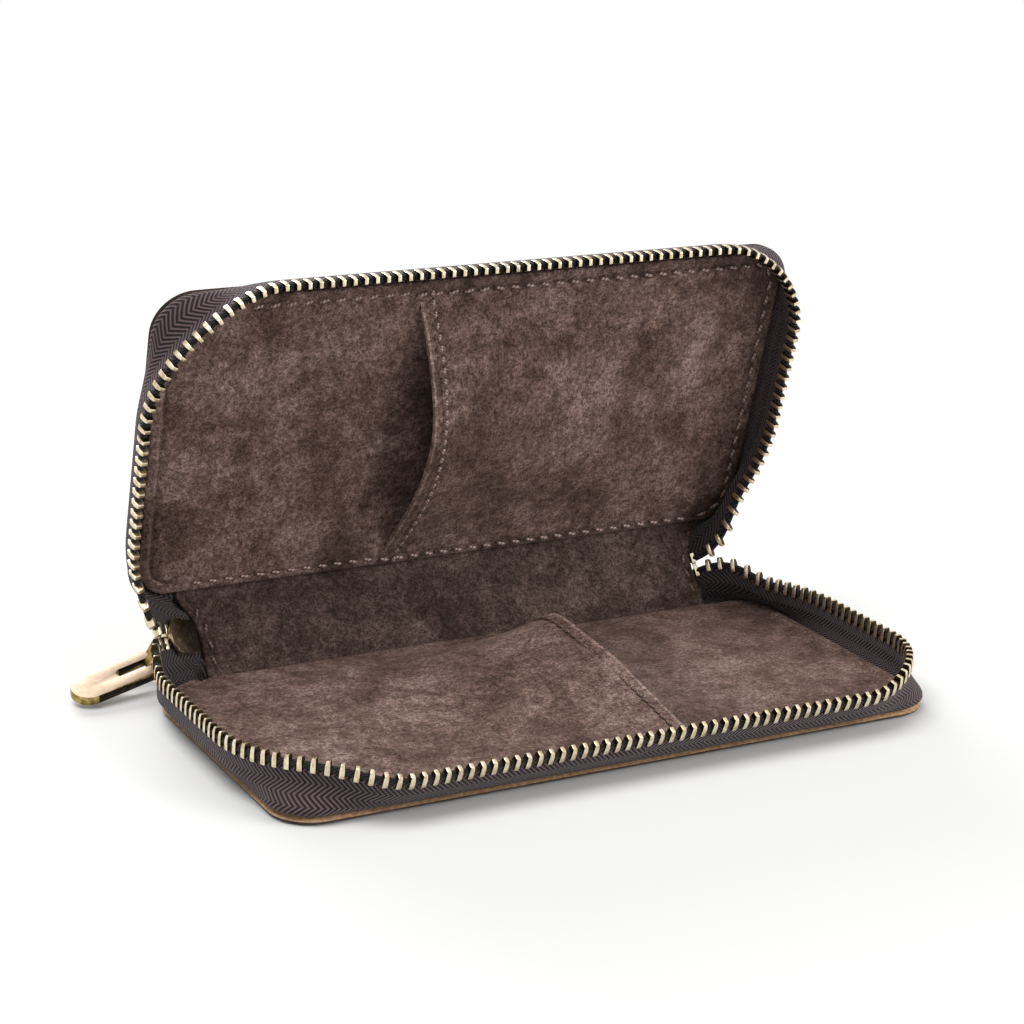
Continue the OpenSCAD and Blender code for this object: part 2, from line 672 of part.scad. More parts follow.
// Outline of a slider plate: straight tail, shoulders and a rounded nose
module plate_outline() {
    nose_r = slider_w / 2;
    intersection() {
        polygon([[-slider_half, -slider_tail_w / 2], [0, -slider_tail_w / 2],
                 [slider_half * shoulder_share, -slider_w / 2], [slider_half, -slider_w / 2],
                 [slider_half, slider_w / 2], [slider_half * shoulder_share, slider_w / 2],
                 [0, slider_tail_w / 2], [-slider_half, slider_tail_w / 2]]);
        translate([slider_half - nose_r - nose_blunt, 0]) union() {
            circle(r = nose_r + nose_blunt);
            translate([-slider_l, -slider_w / 2]) square([slider_l, slider_w]);
        }
    }
}
// Edge band of the plate outline that makes the rails
module rail_outline() {
    difference() {
        plate_outline();
        translate([-cut - slider_half, -slider_tail_w / 2 + rail_t])
            square([slider_l + 2 * cut, slider_tail_w - 2 * rail_t]);
        translate([slider_half * rail_share, -slider_w]) square([slider_l, 2 * slider_w]);
    }
}
module slider_body() {
    color(brass_colour) at_left_end() translate([slider_x, 0, 0]) {
        for (side = [0, 1]) mirror([0, side, 0]) rotate([-90, 0, 0]) {
            translate([0, 0, channel_half]) linear_extrude(plate_t) plate_outline();
            translate([0, 0, tape_slot / 2]) linear_extrude(channel_half - tape_slot / 2 + lug)
                rail_outline();
        }
        translate([slider_half - wedge_l - wedge_inset, 0, 0]) rotate([-90, 0, 0])
            translate([0, 0, -channel_half - lug]) linear_extrude(channel_h + 2 * lug)
                polygon([[0, 0], [wedge_l * wedge_share, -wedge_wide], [wedge_l, -wedge_front],
                         [wedge_l, wedge_front], [wedge_l * wedge_share, wedge_wide]]);
    }
}
module slider_bridge() {
    slope = bridge_slope;
    top = bridge_eye + bridge_t;
    color(brass_colour) at_left_end() translate([slider_x, slider_top, -bridge_w / 2])
        linear_extrude(bridge_w)
            polygon([[-bridge_back, 0], [-bridge_back, top - 2 * slope],
                     [-bridge_back + slope, top], [bridge_front - slope / 2, top],
                     [bridge_front, top - slope / 2], [bridge_front, 0],
                     [bridge_front - bridge_t, 0], [bridge_front - bridge_t, bridge_eye],
                     [-bridge_back + slope + bridge_t / 2, bridge_eye],
                     [-bridge_back + bridge_t, top - 2 * slope], [-bridge_back + bridge_t, 0]]);
}

// Middle of the bridge's eye in the half open case
eye_closed = [-spine_half - eye_x * cos(end_lean) - eye_y * sin(end_lean),
              back_y - hem_mid - eye_x * sin(end_lean) + eye_y * cos(end_lean), mid_z];
eye_arm = [eye_closed[1] - fold_y, eye_closed[2] - fold_z];
eye = [eye_closed[0],
       fold_y + eye_arm[0] * cos(spine_open) + eye_arm[1] * sin(spine_open),
       fold_z - eye_arm[0] * sin(spine_open) + eye_arm[1] * cos(spine_open)];
// Frame of the ring: X away from the slider along the ring, Y across it
module at_ring() {
    translate(eye) rotate([-(90 - spine_open - ring_lean), ring_slope, 180 - ring_turn])
        translate([0, -ring_shift, 0]) children();
}
// Frame of the pull: X along it from the pin, Y across it, Z out of its upper face
module at_pull() {
    at_ring() translate([link_l, 0, 0]) rotate([0, -pull_lift, 0]) children();
}
module pull_link() {
    half = ring_gap / 2;
    color(brass_colour) at_ring() difference() {
        union() {
            translate([0, -half - ring_t, 0]) rotate([-90, 0, 0])
                cylinder(d = bar_d, h = 2 * (half + ring_t), $fn = 32);
            for (side = [0, 1]) mirror([0, side, 0])
                translate([0, half, -bar_d / 2]) cube([ring_l + ring_t / 2, ring_t, bar_d]);
            translate([ring_l, -half - ring_t, -bar_d / 2])
                cube([ring_t, 2 * (half + ring_t), bar_d]);
            translate([ring_l, -stem_w / 2, -stem_r]) cube([link_l - ring_l, stem_w, 2 * stem_r]);
            translate([link_l, stem_w / 2, 0]) rotate([90, 0, 0])
                cylinder(r = stem_r, h = stem_w, $fn = 32);
        }
        translate([link_l, stem_w, 0]) rotate([90, 0, 0])
            cylinder(d = pin_d + 2 * pin_gap, h = 2 * stem_w, $fn = 32);
    }
}
module pull_tab() {
    color(brass_colour) at_pull() translate([-pin_inset, 0, 0]) difference() {
        translate([0, 0, -pull_t / 2]) linear_extrude(pull_t) difference() {
            union() {
                translate([0, -pull_w / 2]) square([pull_l - pull_w / 2, pull_w]);
                translate([pull_l - pull_w / 2, 0]) circle(d = pull_w);
            }
            translate([-cut, -slot_w / 2]) square([slot_l - slot_w / 2 + cut, slot_w]);
            translate([slot_l - slot_w / 2, 0]) circle(d = slot_w);
        }
        translate([pin_inset, pull_w / 2 + cut, 0]) rotate([90, 0, 0])
            cylinder(d = pin_d, h = pull_w + 2 * cut, $fn = 32);
    }
}
module pull_pin() {
    color(brass_colour) at_pull() translate([0, pull_w / 2 - pin_sink, 0]) rotate([90, 0, 0])
        cylinder(d = pin_d, h = pull_w - 2 * pin_sink, $fn = 32);
}

base_cover();
base_board();
base_lining();
base_pocket();
base_tape();
base_cord();
base_teeth();
base_stitching();
base_pocket_stitching();
base_front_tape();
base_front_cord();
base_front_teeth();
spine_cover();
spine_board();
spine_lining();
spine_stitching();
left_tape_end();
right_tape_end();
left_end_teeth();
right_end_teeth();
bottom_stop();
top_stops();
lid_cover();
lid_board();
lid_lining();
lid_pocket();
lid_tape();
lid_cord();
lid_teeth();
lid_stitching();
lid_pocket_stitching();
lid_cover_stitching();
lid_front_tape();
lid_front_cord();
lid_front_teeth();
slider_body();
slider_bridge();
pull_link();
pull_tab();
pull_pin();
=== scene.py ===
# %% [markdown]
# # A zipped leather travel case for two watches
#
# The case is a book of three stiff panels: base, spine and lid. One sheet of leather wraps
# them, suede lines them, and a woven zip tape is the soft wall between base and lid.
#
# The CAD model, model.glb, gives the frame: every body, joint and size. This
# script dresses it, piece by piece, in the same frame and in metres. What is soft or finely
# shaped gets a piece of its own, drawn in place; some ride on a CAD body, and some are laid
# bent round a fold.

# %% The imported frame
import math

import bpy
import numpy as np
from mathutils import Matrix, Vector


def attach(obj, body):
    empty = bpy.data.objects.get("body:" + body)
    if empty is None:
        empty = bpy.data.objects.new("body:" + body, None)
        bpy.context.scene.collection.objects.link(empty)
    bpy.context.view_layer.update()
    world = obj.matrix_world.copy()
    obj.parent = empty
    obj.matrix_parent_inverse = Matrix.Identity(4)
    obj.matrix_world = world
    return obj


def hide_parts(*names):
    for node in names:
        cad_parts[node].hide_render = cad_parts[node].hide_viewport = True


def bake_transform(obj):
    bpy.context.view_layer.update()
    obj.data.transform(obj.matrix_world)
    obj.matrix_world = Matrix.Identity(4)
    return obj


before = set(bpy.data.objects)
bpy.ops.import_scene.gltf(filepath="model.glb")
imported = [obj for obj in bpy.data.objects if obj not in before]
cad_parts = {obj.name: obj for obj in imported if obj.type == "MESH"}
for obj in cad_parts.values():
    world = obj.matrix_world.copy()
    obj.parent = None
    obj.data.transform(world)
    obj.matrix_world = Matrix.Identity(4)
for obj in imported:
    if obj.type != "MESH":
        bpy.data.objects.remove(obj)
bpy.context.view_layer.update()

# %% [markdown]
# ## Camera
#
# The camera comes first, because everything after it is judged through it. It looks at the
# half open case from the front left and a little above, with a long lens.

# %% Camera
MM = 0.001


def look(camera, target, azimuth, elevation, distance, roll):
    """Places a camera round a target, in degrees, and rolls it about its view."""
    a, e = math.radians(azimuth), math.radians(elevation)
    back = Vector((math.sin(a) * math.cos(e), -math.cos(a) * math.cos(e), math.sin(e)))
    turn = (-back).to_track_quat("-Z", "Y").to_matrix() @ Matrix.Rotation(
        math.radians(roll), 3, "Z"
    )
    camera.location = target + back * distance
    camera.rotation_euler = turn.to_euler()


bpy.ops.object.camera_add()
camera = bpy.context.object
camera.name = "camera"
look(camera, Vector((-0.0035, 0.012, 0.046)), -28.45, 17.3, 0.633, 1.65)
camera.data.lens = 92
camera.data.clip_start = 0.01
bpy.context.scene.camera = camera

# %% [markdown]
# ## Floor, world and lamps
#
# Shaders are small trees of nodes, so one helper adds a node with its settings and links.
# The floor is pale paper, which fades to white away from the case, to the camera only. The
# world is plain, and three soft lamps light the case evenly, so that a colour renders about
# as it is written.

# %% Floor, world and lamps


def linear(hex_colour):
    """Turns an sRGB hex colour into the linear one that shaders work with."""
    channels = [int(hex_colour[i : i + 2], 16) / 255 for i in (1, 3, 5)]
    return [
        c / 12.92 if c <= 0.04045 else ((c + 0.055) / 1.055) ** 2.4 for c in channels
    ] + [1.0]


def add_node(tree, kind, settings=None, links=None):
    """Adds one shader node, sets its values, sockets or colour stops, and links its inputs.
    A link from a whole node takes the first output that is in use."""
    node = tree.nodes.new("ShaderNode" + kind)
    for name, value in (settings or {}).items():
        if name == "stops":
            stops = node.color_ramp.elements
            while len(stops) < len(value):
                stops.new(0.5)
            for stop, (place, colour) in zip(stops, value):
                stop.position, stop.color = place, linear(colour)
        elif isinstance(name, str) and hasattr(node, name):
            setattr(node, name, value)
        else:
            node.inputs[name].default_value = value
    for name, source in (links or {}).items():
        if isinstance(source, bpy.types.Node):
            source = next(socket for socket in source.outputs if socket.enabled)
        tree.links.new(source, node.inputs[name])
    return node


def cleared(owner):
    """The node tree of a material or a world, emptied."""
    owner.use_nodes = True
    owner.node_tree.nodes.clear()
    return owner.node_tree


bpy.ops.mesh.primitive_plane_add(size=6, location=(0, 0, -0.0003))
floor = bpy.context.object
floor.name = "floor"
floor_material = bpy.data.materials.new("floor_paper")
tree = cleared(floor_material)
paper = add_node(tree, "BsdfDiffuse", {"Color": linear("#d0d0cf")})
white = add_node(tree, "Emission", {"Color": linear("#ffffff"), "Strength": 1.0})
path = add_node(tree, "LightPath")
geometry = add_node(tree, "NewGeometry")
reach = add_node(
    tree, "VectorMath", {"operation": "LENGTH"}, {0: geometry.outputs["Position"]}
)
fade = add_node(tree, "MapRange", {"From Min": 0.18, "From Max": 0.55}, {"Value": reach})
seen = add_node(
    tree, "Math", {"operation": "MULTIPLY"}, {0: fade, 1: path.outputs["Is Camera Ray"]}
)
mix = add_node(tree, "MixShader", {}, {0: seen, 1: paper, 2: white})
add_node(tree, "OutputMaterial", {}, {"Surface": mix})
floor.data.materials.append(floor_material)

world = bpy.data.worlds.new("studio")
bpy.context.scene.world = world
tree = cleared(world)
path = add_node(tree, "LightPath")
direct = add_node(
    tree,
    "Math",
    {"operation": "MAXIMUM"},
    {0: path.outputs["Is Camera Ray"], 1: path.outputs["Is Glossy Ray"]},
)
level = add_node(tree, "MapRange", {"To Min": 0.55, "To Max": 1.0}, {"Value": direct})
sky = add_node(tree, "Background", {"Color": (1, 1, 1, 1)}, {"Strength": level})
add_node(tree, "OutputWorld", {}, {"Surface": sky})


def soft_lamp(name, place, size, watts):
    """A square lamp that faces the case."""
    bpy.ops.object.light_add(type="AREA", location=place)
    lamp = bpy.context.object
    lamp.name = name
    lamp.data.size = size
    lamp.data.energy = watts
    lamp.rotation_euler = (-Vector(place)).to_track_quat("-Z", "Y").to_euler()


soft_lamp("key_lamp", (-0.4, 0.0, 1.05), 0.7, 10)
soft_lamp("fill_lamp", (0.8, -0.7, 0.5), 0.6, 9.5)
soft_lamp("back_lamp", (0.0, 1.1, 0.62), 0.6, 12)
bpy.context.scene.view_settings.view_transform = "Standard"
print("Lamps:", [light.name for light in bpy.data.lights])

# %% [markdown]
# ## Sizes and places
#
# The sizes below, in millimetres, are the CAD model's own. Everything is drawn as the base,
# lying flat. The lid is the same panel seen in a mirror that stands in the middle of the
# spine, so one matrix, LID, carries a finished base piece to the lid's place.

# %% Sizes
SIDES = ("base", "lid")
HAND_NAME = {1: "right", -1: "left"}

HALF_L, FRONT_Y, BACK_Y = 86.0, -43.0, 43.0
CORNER_R = 10.0
SHOULDER_TURN = math.radians(62)
SPINE_HALF = 71.5
FOLD_R, FOLD_Y, FOLD_Z = 2.2, 40.8, 2.2
SPINE_SPAN = 22.6
CASE_T, MID_Z = 27.0, 13.5
SPINE_OPEN = math.radians(37.5)
FOLD_TURN = math.radians(90) - SPINE_OPEN
LEATHER_T, TAPE_T, SUEDE_T = 1.8, 0.9, 1.0
PANEL_T = LEATHER_T + TAPE_T + SUEDE_T
HEM_MID = LEATHER_T + TAPE_T / 2
CORD_DROP, CORD_R = 1.75, 0.85
TAPE_END = MID_Z - CORD_DROP - CORD_R
PITCH = 2.85
FLARE = {"base": math.radians(28), "lid": math.radians(15)}
FLARE_FROM, FLARE_TO = 60.0, 86.0
STITCH_INSET, STITCH_PITCH, STITCH_L = 3.8, 4.2, 3.2
STITCH_SLANT = math.radians(13)
MOUTH_INSET, MOUTH_PITCH, MOUTH_L = 3.0, 2.6, 2.1
END_INSET = 3.0

QUARTER = math.pi / 2
CORNER_X, CORNER_Y = HALF_L - CORNER_R, FRONT_Y + CORNER_R
SHOULDER_X = HALF_L - CORNER_R
BEVEL_L = (HALF_L - SPINE_HALF - CORNER_R * (1 - math.cos(SHOULDER_TURN))) / math.sin(
    SHOULDER_TURN
)
SHOULDER_Y = (
    BACK_Y - CORNER_R * math.sin(SHOULDER_TURN) - BEVEL_L * math.cos(SHOULDER_TURN)
)
BEVEL_FOOT = np.array(
    [
        SHOULDER_X + CORNER_R * math.cos(SHOULDER_TURN),
        SHOULDER_Y + CORNER_R * math.sin(SHOULDER_TURN),
    ]
)


print("Closed, the case is", 2 * HALF_L, "by", BACK_Y - FRONT_Y, "by", CASE_T, "mm")

# %% [markdown]
# ## Turning and mirroring
#
# The case stands half open. Each fold turns about a line along X: the spine turns about the
# first, and the lid about both. Each could be turned by hand, but one matrix does it for
# every piece alike, and the same turn, point by point, bends what lies across a fold.

# %% Turns


def turned(angle, y, z):
    """A turn about a line along X through y, z."""
    return (
        Matrix.Translation((0, y, z))
        @ Matrix.Rotation(angle, 4, "X")
        @ Matrix.Translation((0, -y, -z))
    )


LID = (
    turned(-SPINE_OPEN, FOLD_Y, FOLD_Z)
    @ turned(-SPINE_OPEN, FOLD_Y, CASE_T - FOLD_Z)
    @ Matrix.Translation((0, 0, CASE_T))
    @ Matrix.Scale(-1, 4, (0, 0, 1))
)
print("The lid leans to", [round(c, 2) for c in LID @ Vector((0, FRONT_Y, 0))])


def rolled(points, angles, y, z):
    """Points turned about a line along X, each by its own angle."""
    c, s = np.cos(angles), np.sin(angles)
    dy, dz = points[..., 1] - y, points[..., 2] - z
    return np.stack([points[..., 0], y + dy * c - dz * s, z + dy * s + dz * c], -1)


def smooth(t):
    """An S-shaped step from 0 to 1."""
    t = np.clip(t, 0, 1)
    return t * t * (3 - 2 * t)


def bezier(a, b, c, d, t):
    """A curve from a to d that leaves towards b and arrives from c."""
    return (1 - t) ** 3 * a + 3 * (1 - t) ** 2 * t * b + 3 * (1 - t) * t**2 * c + t**3 * d

# %% [markdown]
# ## Tools of the bench
#
# Every soft piece starts as Blender's flat grid. The grid is laid on the case by a rule that
# gives each of its points a place, as a maker lays a cut sheet over a form. Modifiers then
# give it thickness, and they are applied, so the mesh is what is seen.

# %% Helpers for meshes
WELD = (bpy.ops.mesh.remove_doubles, {"threshold": 1e-6})
FACE_OUT = (bpy.ops.mesh.normals_make_consistent, {"inside": False})


def only(piece):
    """Selects one object and makes it active."""
    bpy.ops.object.select_all(action="DESELECT")
    piece.select_set(True)
    bpy.context.view_layer.objects.active = piece


def in_edit(piece, *steps):
    """Runs edit mode operators on everything in a piece."""
    only(piece)
    bpy.ops.object.mode_set(mode="EDIT")
    bpy.ops.mesh.select_all(action="SELECT")
    for step, settings in steps:
        step(**settings)
    bpy.ops.object.mode_set(mode="OBJECT")


def finished(piece, kind, **settings):
    """Adds a modifier and applies it."""
    modifier = piece.modifiers.new(kind.title(), kind)
    for name, value in settings.items():
        setattr(modifier, name, value)
    only(piece)
    bpy.ops.object.modifier_apply(modifier=modifier.name)
    return piece


def started(name, primitive, **settings):
    """A new piece from one of Blender's primitives."""
    bpy.ops.object.select_all(action="DESELECT")
    primitive(**settings)
    piece = bpy.context.object
    piece.name = piece.data.name = name
    return piece


def laid(name, us, vs, place, cloth=None):
    """A flat grid whose lines are us and vs, laid by place(u, v), which gives mm."""
    columns, rows = len(us) - 1, len(vs) - 1
    grid = bpy.ops.mesh.primitive_grid_add
    piece = started(name, grid, x_subdivisions=columns, y_subdivisions=rows, size=1)
    flat = np.zeros(len(piece.data.vertices) * 3)
    piece.data.vertices.foreach_get("co", flat)
    flat = flat.reshape(-1, 3) + 0.5
    u = np.array(us, float)[np.rint(flat[:, 0] * columns).astype(int)]
    v = np.array(vs, float)[np.rint(flat[:, 1] * rows).astype(int)]
    piece.data.vertices.foreach_set("co", (place(u, v) * MM).ravel())
    if cloth:
        corners = np.zeros(len(piece.data.loops), int)
        piece.data.loops.foreach_get("vertex_index", corners)
        along, across = cloth(u, v)
        weave = np.stack([along[corners], across[corners]], -1)
        piece.data.uv_layers[0].data.foreach_set("uv", weave.ravel())
    piece.data.update()
    return piece


def merged(name, pieces):
    """Joins pieces into one mesh."""
    bpy.ops.object.select_all(action="DESELECT")
    for piece in pieces:
        piece.select_set(True)
    bpy.context.view_layer.objects.active = pieces[0]
    bpy.ops.object.join()
    whole = bpy.context.object
    whole.name = whole.data.name = name
    return whole


def twin_of(source, name):
    """A second object with a mesh of its own."""
    twin = bpy.data.objects.new(name, source.data.copy())
    bpy.context.collection.objects.link(twin)
    return twin

# %% [markdown]
# ## Taking a piece to its place
#
# A finished base piece is mirrored into the lid's place. Then it gets its materials, and the
# CAD nodes that it stands for are hidden; some pieces are also hung on the body that carries
# them. A piece that crosses a fold is drawn bent round it, and baked in place.


def to_side(piece, side):
    """Carries a base piece to the lid's place, turning its faces the right way again."""
    if side == "lid":
        m = Matrix(LID)
        m.translation *= MM
        piece.data.transform(m)
        piece.data.flip_normals()


def smoothed(piece, degrees):
    """Shades smooth every edge that turns less than this."""
    only(piece)
    bpy.ops.object.shade_smooth_by_angle(angle=math.radians(degrees))
    return piece


def dressed(piece, *materials):
    """Gives a piece its materials. This comes before any face is given its own."""
    piece.data.materials.clear()
    for material in materials:
        piece.data.materials.append(material)
    return piece


def stands_for(piece, *nodes):
    """Hides the CAD nodes that a piece shows in place of."""
    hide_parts(*nodes)


def fold_blend(piece):
    """Bakes a piece's place into its mesh; its bend round the fold is already drawn."""
    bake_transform(piece)

# %% [markdown]
# ## The outline of the case
#
# The cover is a rounded rectangle whose back corners are cut to a slant, so that the zip can
# run in under the ends of the spine. It could be traced by eye, but everything on it has to
# follow it exactly. So it is walked as a path, which gives the place and the heading at each
# distance from the middle of the front.

# %% Outline


def path_of(points):
    """A path through points: its lengths, places and headings, ready to be read anywhere."""
    points = np.array(points, float)
    steps = np.linalg.norm(np.diff(points, axis=0), axis=1)
    keep = np.concatenate([[True], steps > 1e-9])
    points, steps = points[keep], steps[steps > 1e-9]
    length = np.concatenate([[0], np.cumsum(steps)])
    heading = np.gradient(points, length, axis=0)
    return length, points, heading / np.linalg.norm(heading, axis=1)[:, None]


def read(path, s):
    """Place and unit heading at the distance s along a path."""
    length, points, heading = path
    place = np.stack([np.interp(s, length, points[:, i]) for i in (0, 1)], -1)
    ahead = np.stack([np.interp(s, length, heading[:, i]) for i in (0, 1)], -1)
    return place, ahead / np.linalg.norm(ahead, axis=-1, keepdims=True)


def arc(x, y, r, start, end, count):
    """Points of an arc, with its angles measured from straight ahead of the case."""
    a = np.linspace(start, end, count)
    return list(zip(x + r * np.sin(a), y - r * np.cos(a)))


def line(a, b, count):
    """Points of a straight line."""
    a, b = np.array(a), np.array(b)
    return [tuple(a + (b - a) * t) for t in np.linspace(0, 1, count)]


outline = path_of(
    line((0, FRONT_Y), (CORNER_X, FRONT_Y), 40)
    + arc(CORNER_X, CORNER_Y, CORNER_R, 0, QUARTER, 40)
    + line((HALF_L, CORNER_Y), (HALF_L, SHOULDER_Y), 40)
    + arc(SHOULDER_X, SHOULDER_Y, CORNER_R, QUARTER, QUARTER + SHOULDER_TURN, 30)
    + line(BEVEL_FOOT, (SPINE_HALF, BACK_Y), 20)
)
OUTLINE_L = outline[0][-1]
print("Outline on one hand:", round(OUTLINE_L, 1), "mm")

# %% [markdown]
# ## The path of the teeth
#
# The chain of teeth bulges beyond the cover and takes the corners in wide bends, because a zip
# doesn't turn sharply. It has a path of its own, and a rule that says which stretch of hem
# belongs to each stretch of chain. A hand is 1 on the right and -1 on the left. Both are drawn
# on the right, and the left one is mirrored.

# %% Chain path
# On the left the chain slants in, straight, through the slider; on the right it swings in to
# the spine's end. JOIN_Y is where front and back pieces meet, LEAVE_Y where the bend starts
SLANT = np.array([math.cos(QUARTER - SHOULDER_TURN), -math.sin(QUARTER - SHOULDER_TURN)])
SPINE_END = np.array([SPINE_HALF, BACK_Y - HEM_MID])
CHAIN_Y = FRONT_Y - 2.6
SIDE_BULGE = {1: 1.0, -1: 4.0}
BEND_R = {1: 24.0, -1: 33.0}
JOIN_Y = -10.0
LEAVE_Y = {1: 4.0, -1: 16.0}
LEAVE_PULL = {1: 14.0, -1: 9.0}
MOUTH = {1: SPINE_END, -1: SPINE_END + SLANT * 12.1}
MOUTH_PULL = {1: np.array([7.5, -9.0]), -1: SLANT * 7}


def chain_path(hand):
    """The closed chain's plan on one hand, from the middle of the front to the spine."""
    side_x, r, y, mouth = HALF_L + SIDE_BULGE[hand], BEND_R[hand], CHAIN_Y, MOUTH[hand]
    leave = np.array([side_x, LEAVE_Y[hand]])
    handles = leave + np.array([0, LEAVE_PULL[hand]]), mouth + MOUTH_PULL[hand]
    bend_in = bezier(leave, *handles, mouth, np.linspace(0, 1, 60)[:, None])
    points = line((0, y), (side_x - r, y), 40)
    points += arc(side_x - r, y + r, r, 0, QUARTER, 60)
    points += line((side_x, y + r), leave, 30) + [tuple(p) for p in bend_in]
    if hand < 0:
        points += line(mouth, SPINE_END, 20)
    return path_of(points)


CHAIN, CHAIN_L, CORNER_S, CHAIN_JOIN, CHAIN_LEAVE = {}, {}, {}, {}, {}
for hand in (1, -1):
    CHAIN[hand] = chain_path(hand)
    CHAIN_L[hand] = CHAIN[hand][0][-1]
    side_x, r = HALF_L + SIDE_BULGE[hand], BEND_R[hand]
    CORNER_S[hand] = (side_x - r, side_x - r + r * QUARTER)
    CHAIN_JOIN[hand] = CORNER_S[hand][1] + JOIN_Y - (CHAIN_Y + r)
    CHAIN_LEAVE[hand] = CHAIN_JOIN[hand] + LEAVE_Y[hand] - JOIN_Y
    print("Chain on the", HAND_NAME[hand] + ":", round(CHAIN_L[hand], 1), "mm")


def outward(heading):
    """The direction out of the case, square to a heading."""
    return np.stack([heading[..., 1], -heading[..., 0]], -1)


def raised(flat, z):
    """Points or directions in the plane, given a height."""
    return np.stack([flat[:, 0], flat[:, 1], np.full(len(flat), z)], -1)


def root_walk(s, hand):
    """How far along the outline the hem lies that belongs to the chain's s. Near the spine
    the last 11 mm of chain belong to the last 10.4 mm of hem."""
    start, end = CORNER_S[hand]
    side = CORNER_X + CORNER_R * QUARTER
    side_q = side + CHAIN_Y + BEND_R[hand] - CORNER_Y
    leave_q = side + LEAVE_Y[hand] - CORNER_Y
    return np.interp(
        s,
        [0, start, end, CHAIN_LEAVE[hand], CHAIN_L[hand] - 11, CHAIN_L[hand]],
        [0, start, side_q, leave_q, OUTLINE_L - 10.7, OUTLINE_L - 0.3],
    )


def flare_share(x):
    """The front gusset leans out. It fades towards the corners, as the joint's blend does."""
    return 1 - smooth((np.abs(x) - FLARE_FROM) / (FLARE_TO - FLARE_FROM))


TURN_FROM = {1: np.array([86.0, 27.0, 13.5]), -1: np.array([89.0, 24.0, 13.5])}
TURN_TO = {1: np.array([71.0, 47.5, 13.5]), -1: np.array([78.6, 44.7, 13.5])}


def turn_share(points, hand):
    """How far a point near the shoulder follows the spine, from 0 to 1."""
    way = TURN_TO[hand] - TURN_FROM[hand]
    return smooth((points - TURN_FROM[hand]) @ way / (way @ way))

# %% [markdown]
# ## The leather cover
#
# The cover is one sheet of oiled cowhide, 1.8 mm thick, with cut edges. A plain box would
# miss its soft rim and the furrow that the stitches pull into it. So the sheet is laid as a
# rim of rings, which follow the outline, round a middle of rows. The rings carry the relief.
# The sheet is made in two halves that meet in the middle of the spine, because a piece can
# bend across one fold only.

# %% Sheets with a rim
RIM = 10.0
FRACTIONS = np.linspace(-1, 1, 41)
MIDDLE = len(FRACTIONS) // 2
ROLL_L = FOLD_R * FOLD_TURN
SHEET_END = FOLD_Y + ROLL_L + SPINE_SPAN / 2
SPINE_ROWS = [38, 39, 40, 40.5, 40.8, 41.2, 41.6, 42, 42.4, 42.82, 43.4, 44.5]
SPINE_ROWS += [46, 48, 50, 52, SHEET_END]
MITRE = np.array([SPINE_HALF - RIM, BACK_Y - 6.02])


def rim_right(closed_back):
    """The rim's outer and inner points, from the front's middle round to the back. With
    closed_back the sheet ends there, straight; without it the sheet runs up the spine."""
    pairs = [((CORNER_X * f, FRONT_Y), (CORNER_X * f, CORNER_Y)) for f in FRACTIONS[MIDDLE:]]
    for a in np.linspace(0, QUARTER, 13)[1:]:
        outer = (CORNER_X + CORNER_R * math.sin(a), CORNER_Y - CORNER_R * math.cos(a))
        pairs.append((outer, (CORNER_X, CORNER_Y)))
    last_y = closed_back - RIM if closed_back else SHOULDER_Y
    for y in np.linspace(CORNER_Y, last_y, 17)[1:]:
        pairs.append(((HALF_L, y), (CORNER_X, y)))
    turn = SHOULDER_TURN
    if closed_back:
        turn = math.asin((closed_back - SHOULDER_Y) / CORNER_R)
    for a in np.linspace(0, turn, 11)[1:]:
        outer = (SHOULDER_X + CORNER_R * math.cos(a), SHOULDER_Y + CORNER_R * math.sin(a))
        pairs.append((outer, (CORNER_X, last_y)))
    if closed_back:
        back_x = SHOULDER_X + CORNER_R * math.cos(turn)
        for f in FRACTIONS[MIDDLE:][::-1]:
            pairs.append(((back_x * f, closed_back), (CORNER_X * f, last_y)))
    else:
        for t in (0.2, 0.4, 0.55, 0.65, 0.75, 0.85, 0.95, 1):
            outer = BEVEL_FOOT + (np.array([SPINE_HALF, BACK_Y]) - BEVEL_FOOT) * t
            inner = np.array([SHOULDER_X, SHOULDER_Y]) * (1 - t) + MITRE * t
            pairs.append((outer, inner))
        for inner_v in SPINE_ROWS:
            share = (inner_v - MITRE[1]) / (SHEET_END - MITRE[1])
            outer_v = BACK_Y + share * (SHEET_END - BACK_Y)
            pairs.append(((SPINE_HALF, outer_v), (SPINE_HALF - RIM, inner_v)))
    return np.array(pairs, float)


def sheet_with_rim(name, depths, shape, closed_back=None):
    """Lays a rim of rings and a middle of rows, and welds them into one sheet."""
    right = rim_right(closed_back)
    left = right[::-1] * np.array([-1, 1])
    rim = np.concatenate([left[:-1], right])
    if closed_back:
        rim = rim[:-1] if np.allclose(rim[0], rim[-1]) else rim
        rim = np.concatenate([rim, rim[:1]])

    def on_rim(k, depth):
        pair = rim[k.astype(int)]
        share = (depth / RIM)[:, None]
        at = pair[:, 0] * (1 - share) + pair[:, 1] * share
        return shape(at[:, 0], at[:, 1], depth)

    ring = laid(name + "_rim", range(len(rim)), depths, on_rim)
    inner = right[MIDDLE:, 1]
    rows = [inner[0]]
    for point in inner:
        if point[1] > rows[-1][1] + 1e-6:
            rows.append(point)
    rows = np.array(rows)

    def on_rows(fraction, j):
        row = rows[j.astype(int)]
        return shape(row[:, 0] * fraction, row[:, 1], np.full(len(j), RIM))

    middle = laid(name + "_middle", FRACTIONS, range(len(rows)), on_rows)
    sheet = merged(name, [ring, middle])
    in_edit(sheet, WELD, (bpy.ops.mesh.dissolve_degenerate, {"threshold": 1e-6}))
    in_edit(sheet, FACE_OUT)
    flat = [p.normal.z * p.area for p in sheet.data.polygons if p.center.y < 0.03]
    if sum(flat) < 0:
        sheet.data.flip_normals()
    return sheet


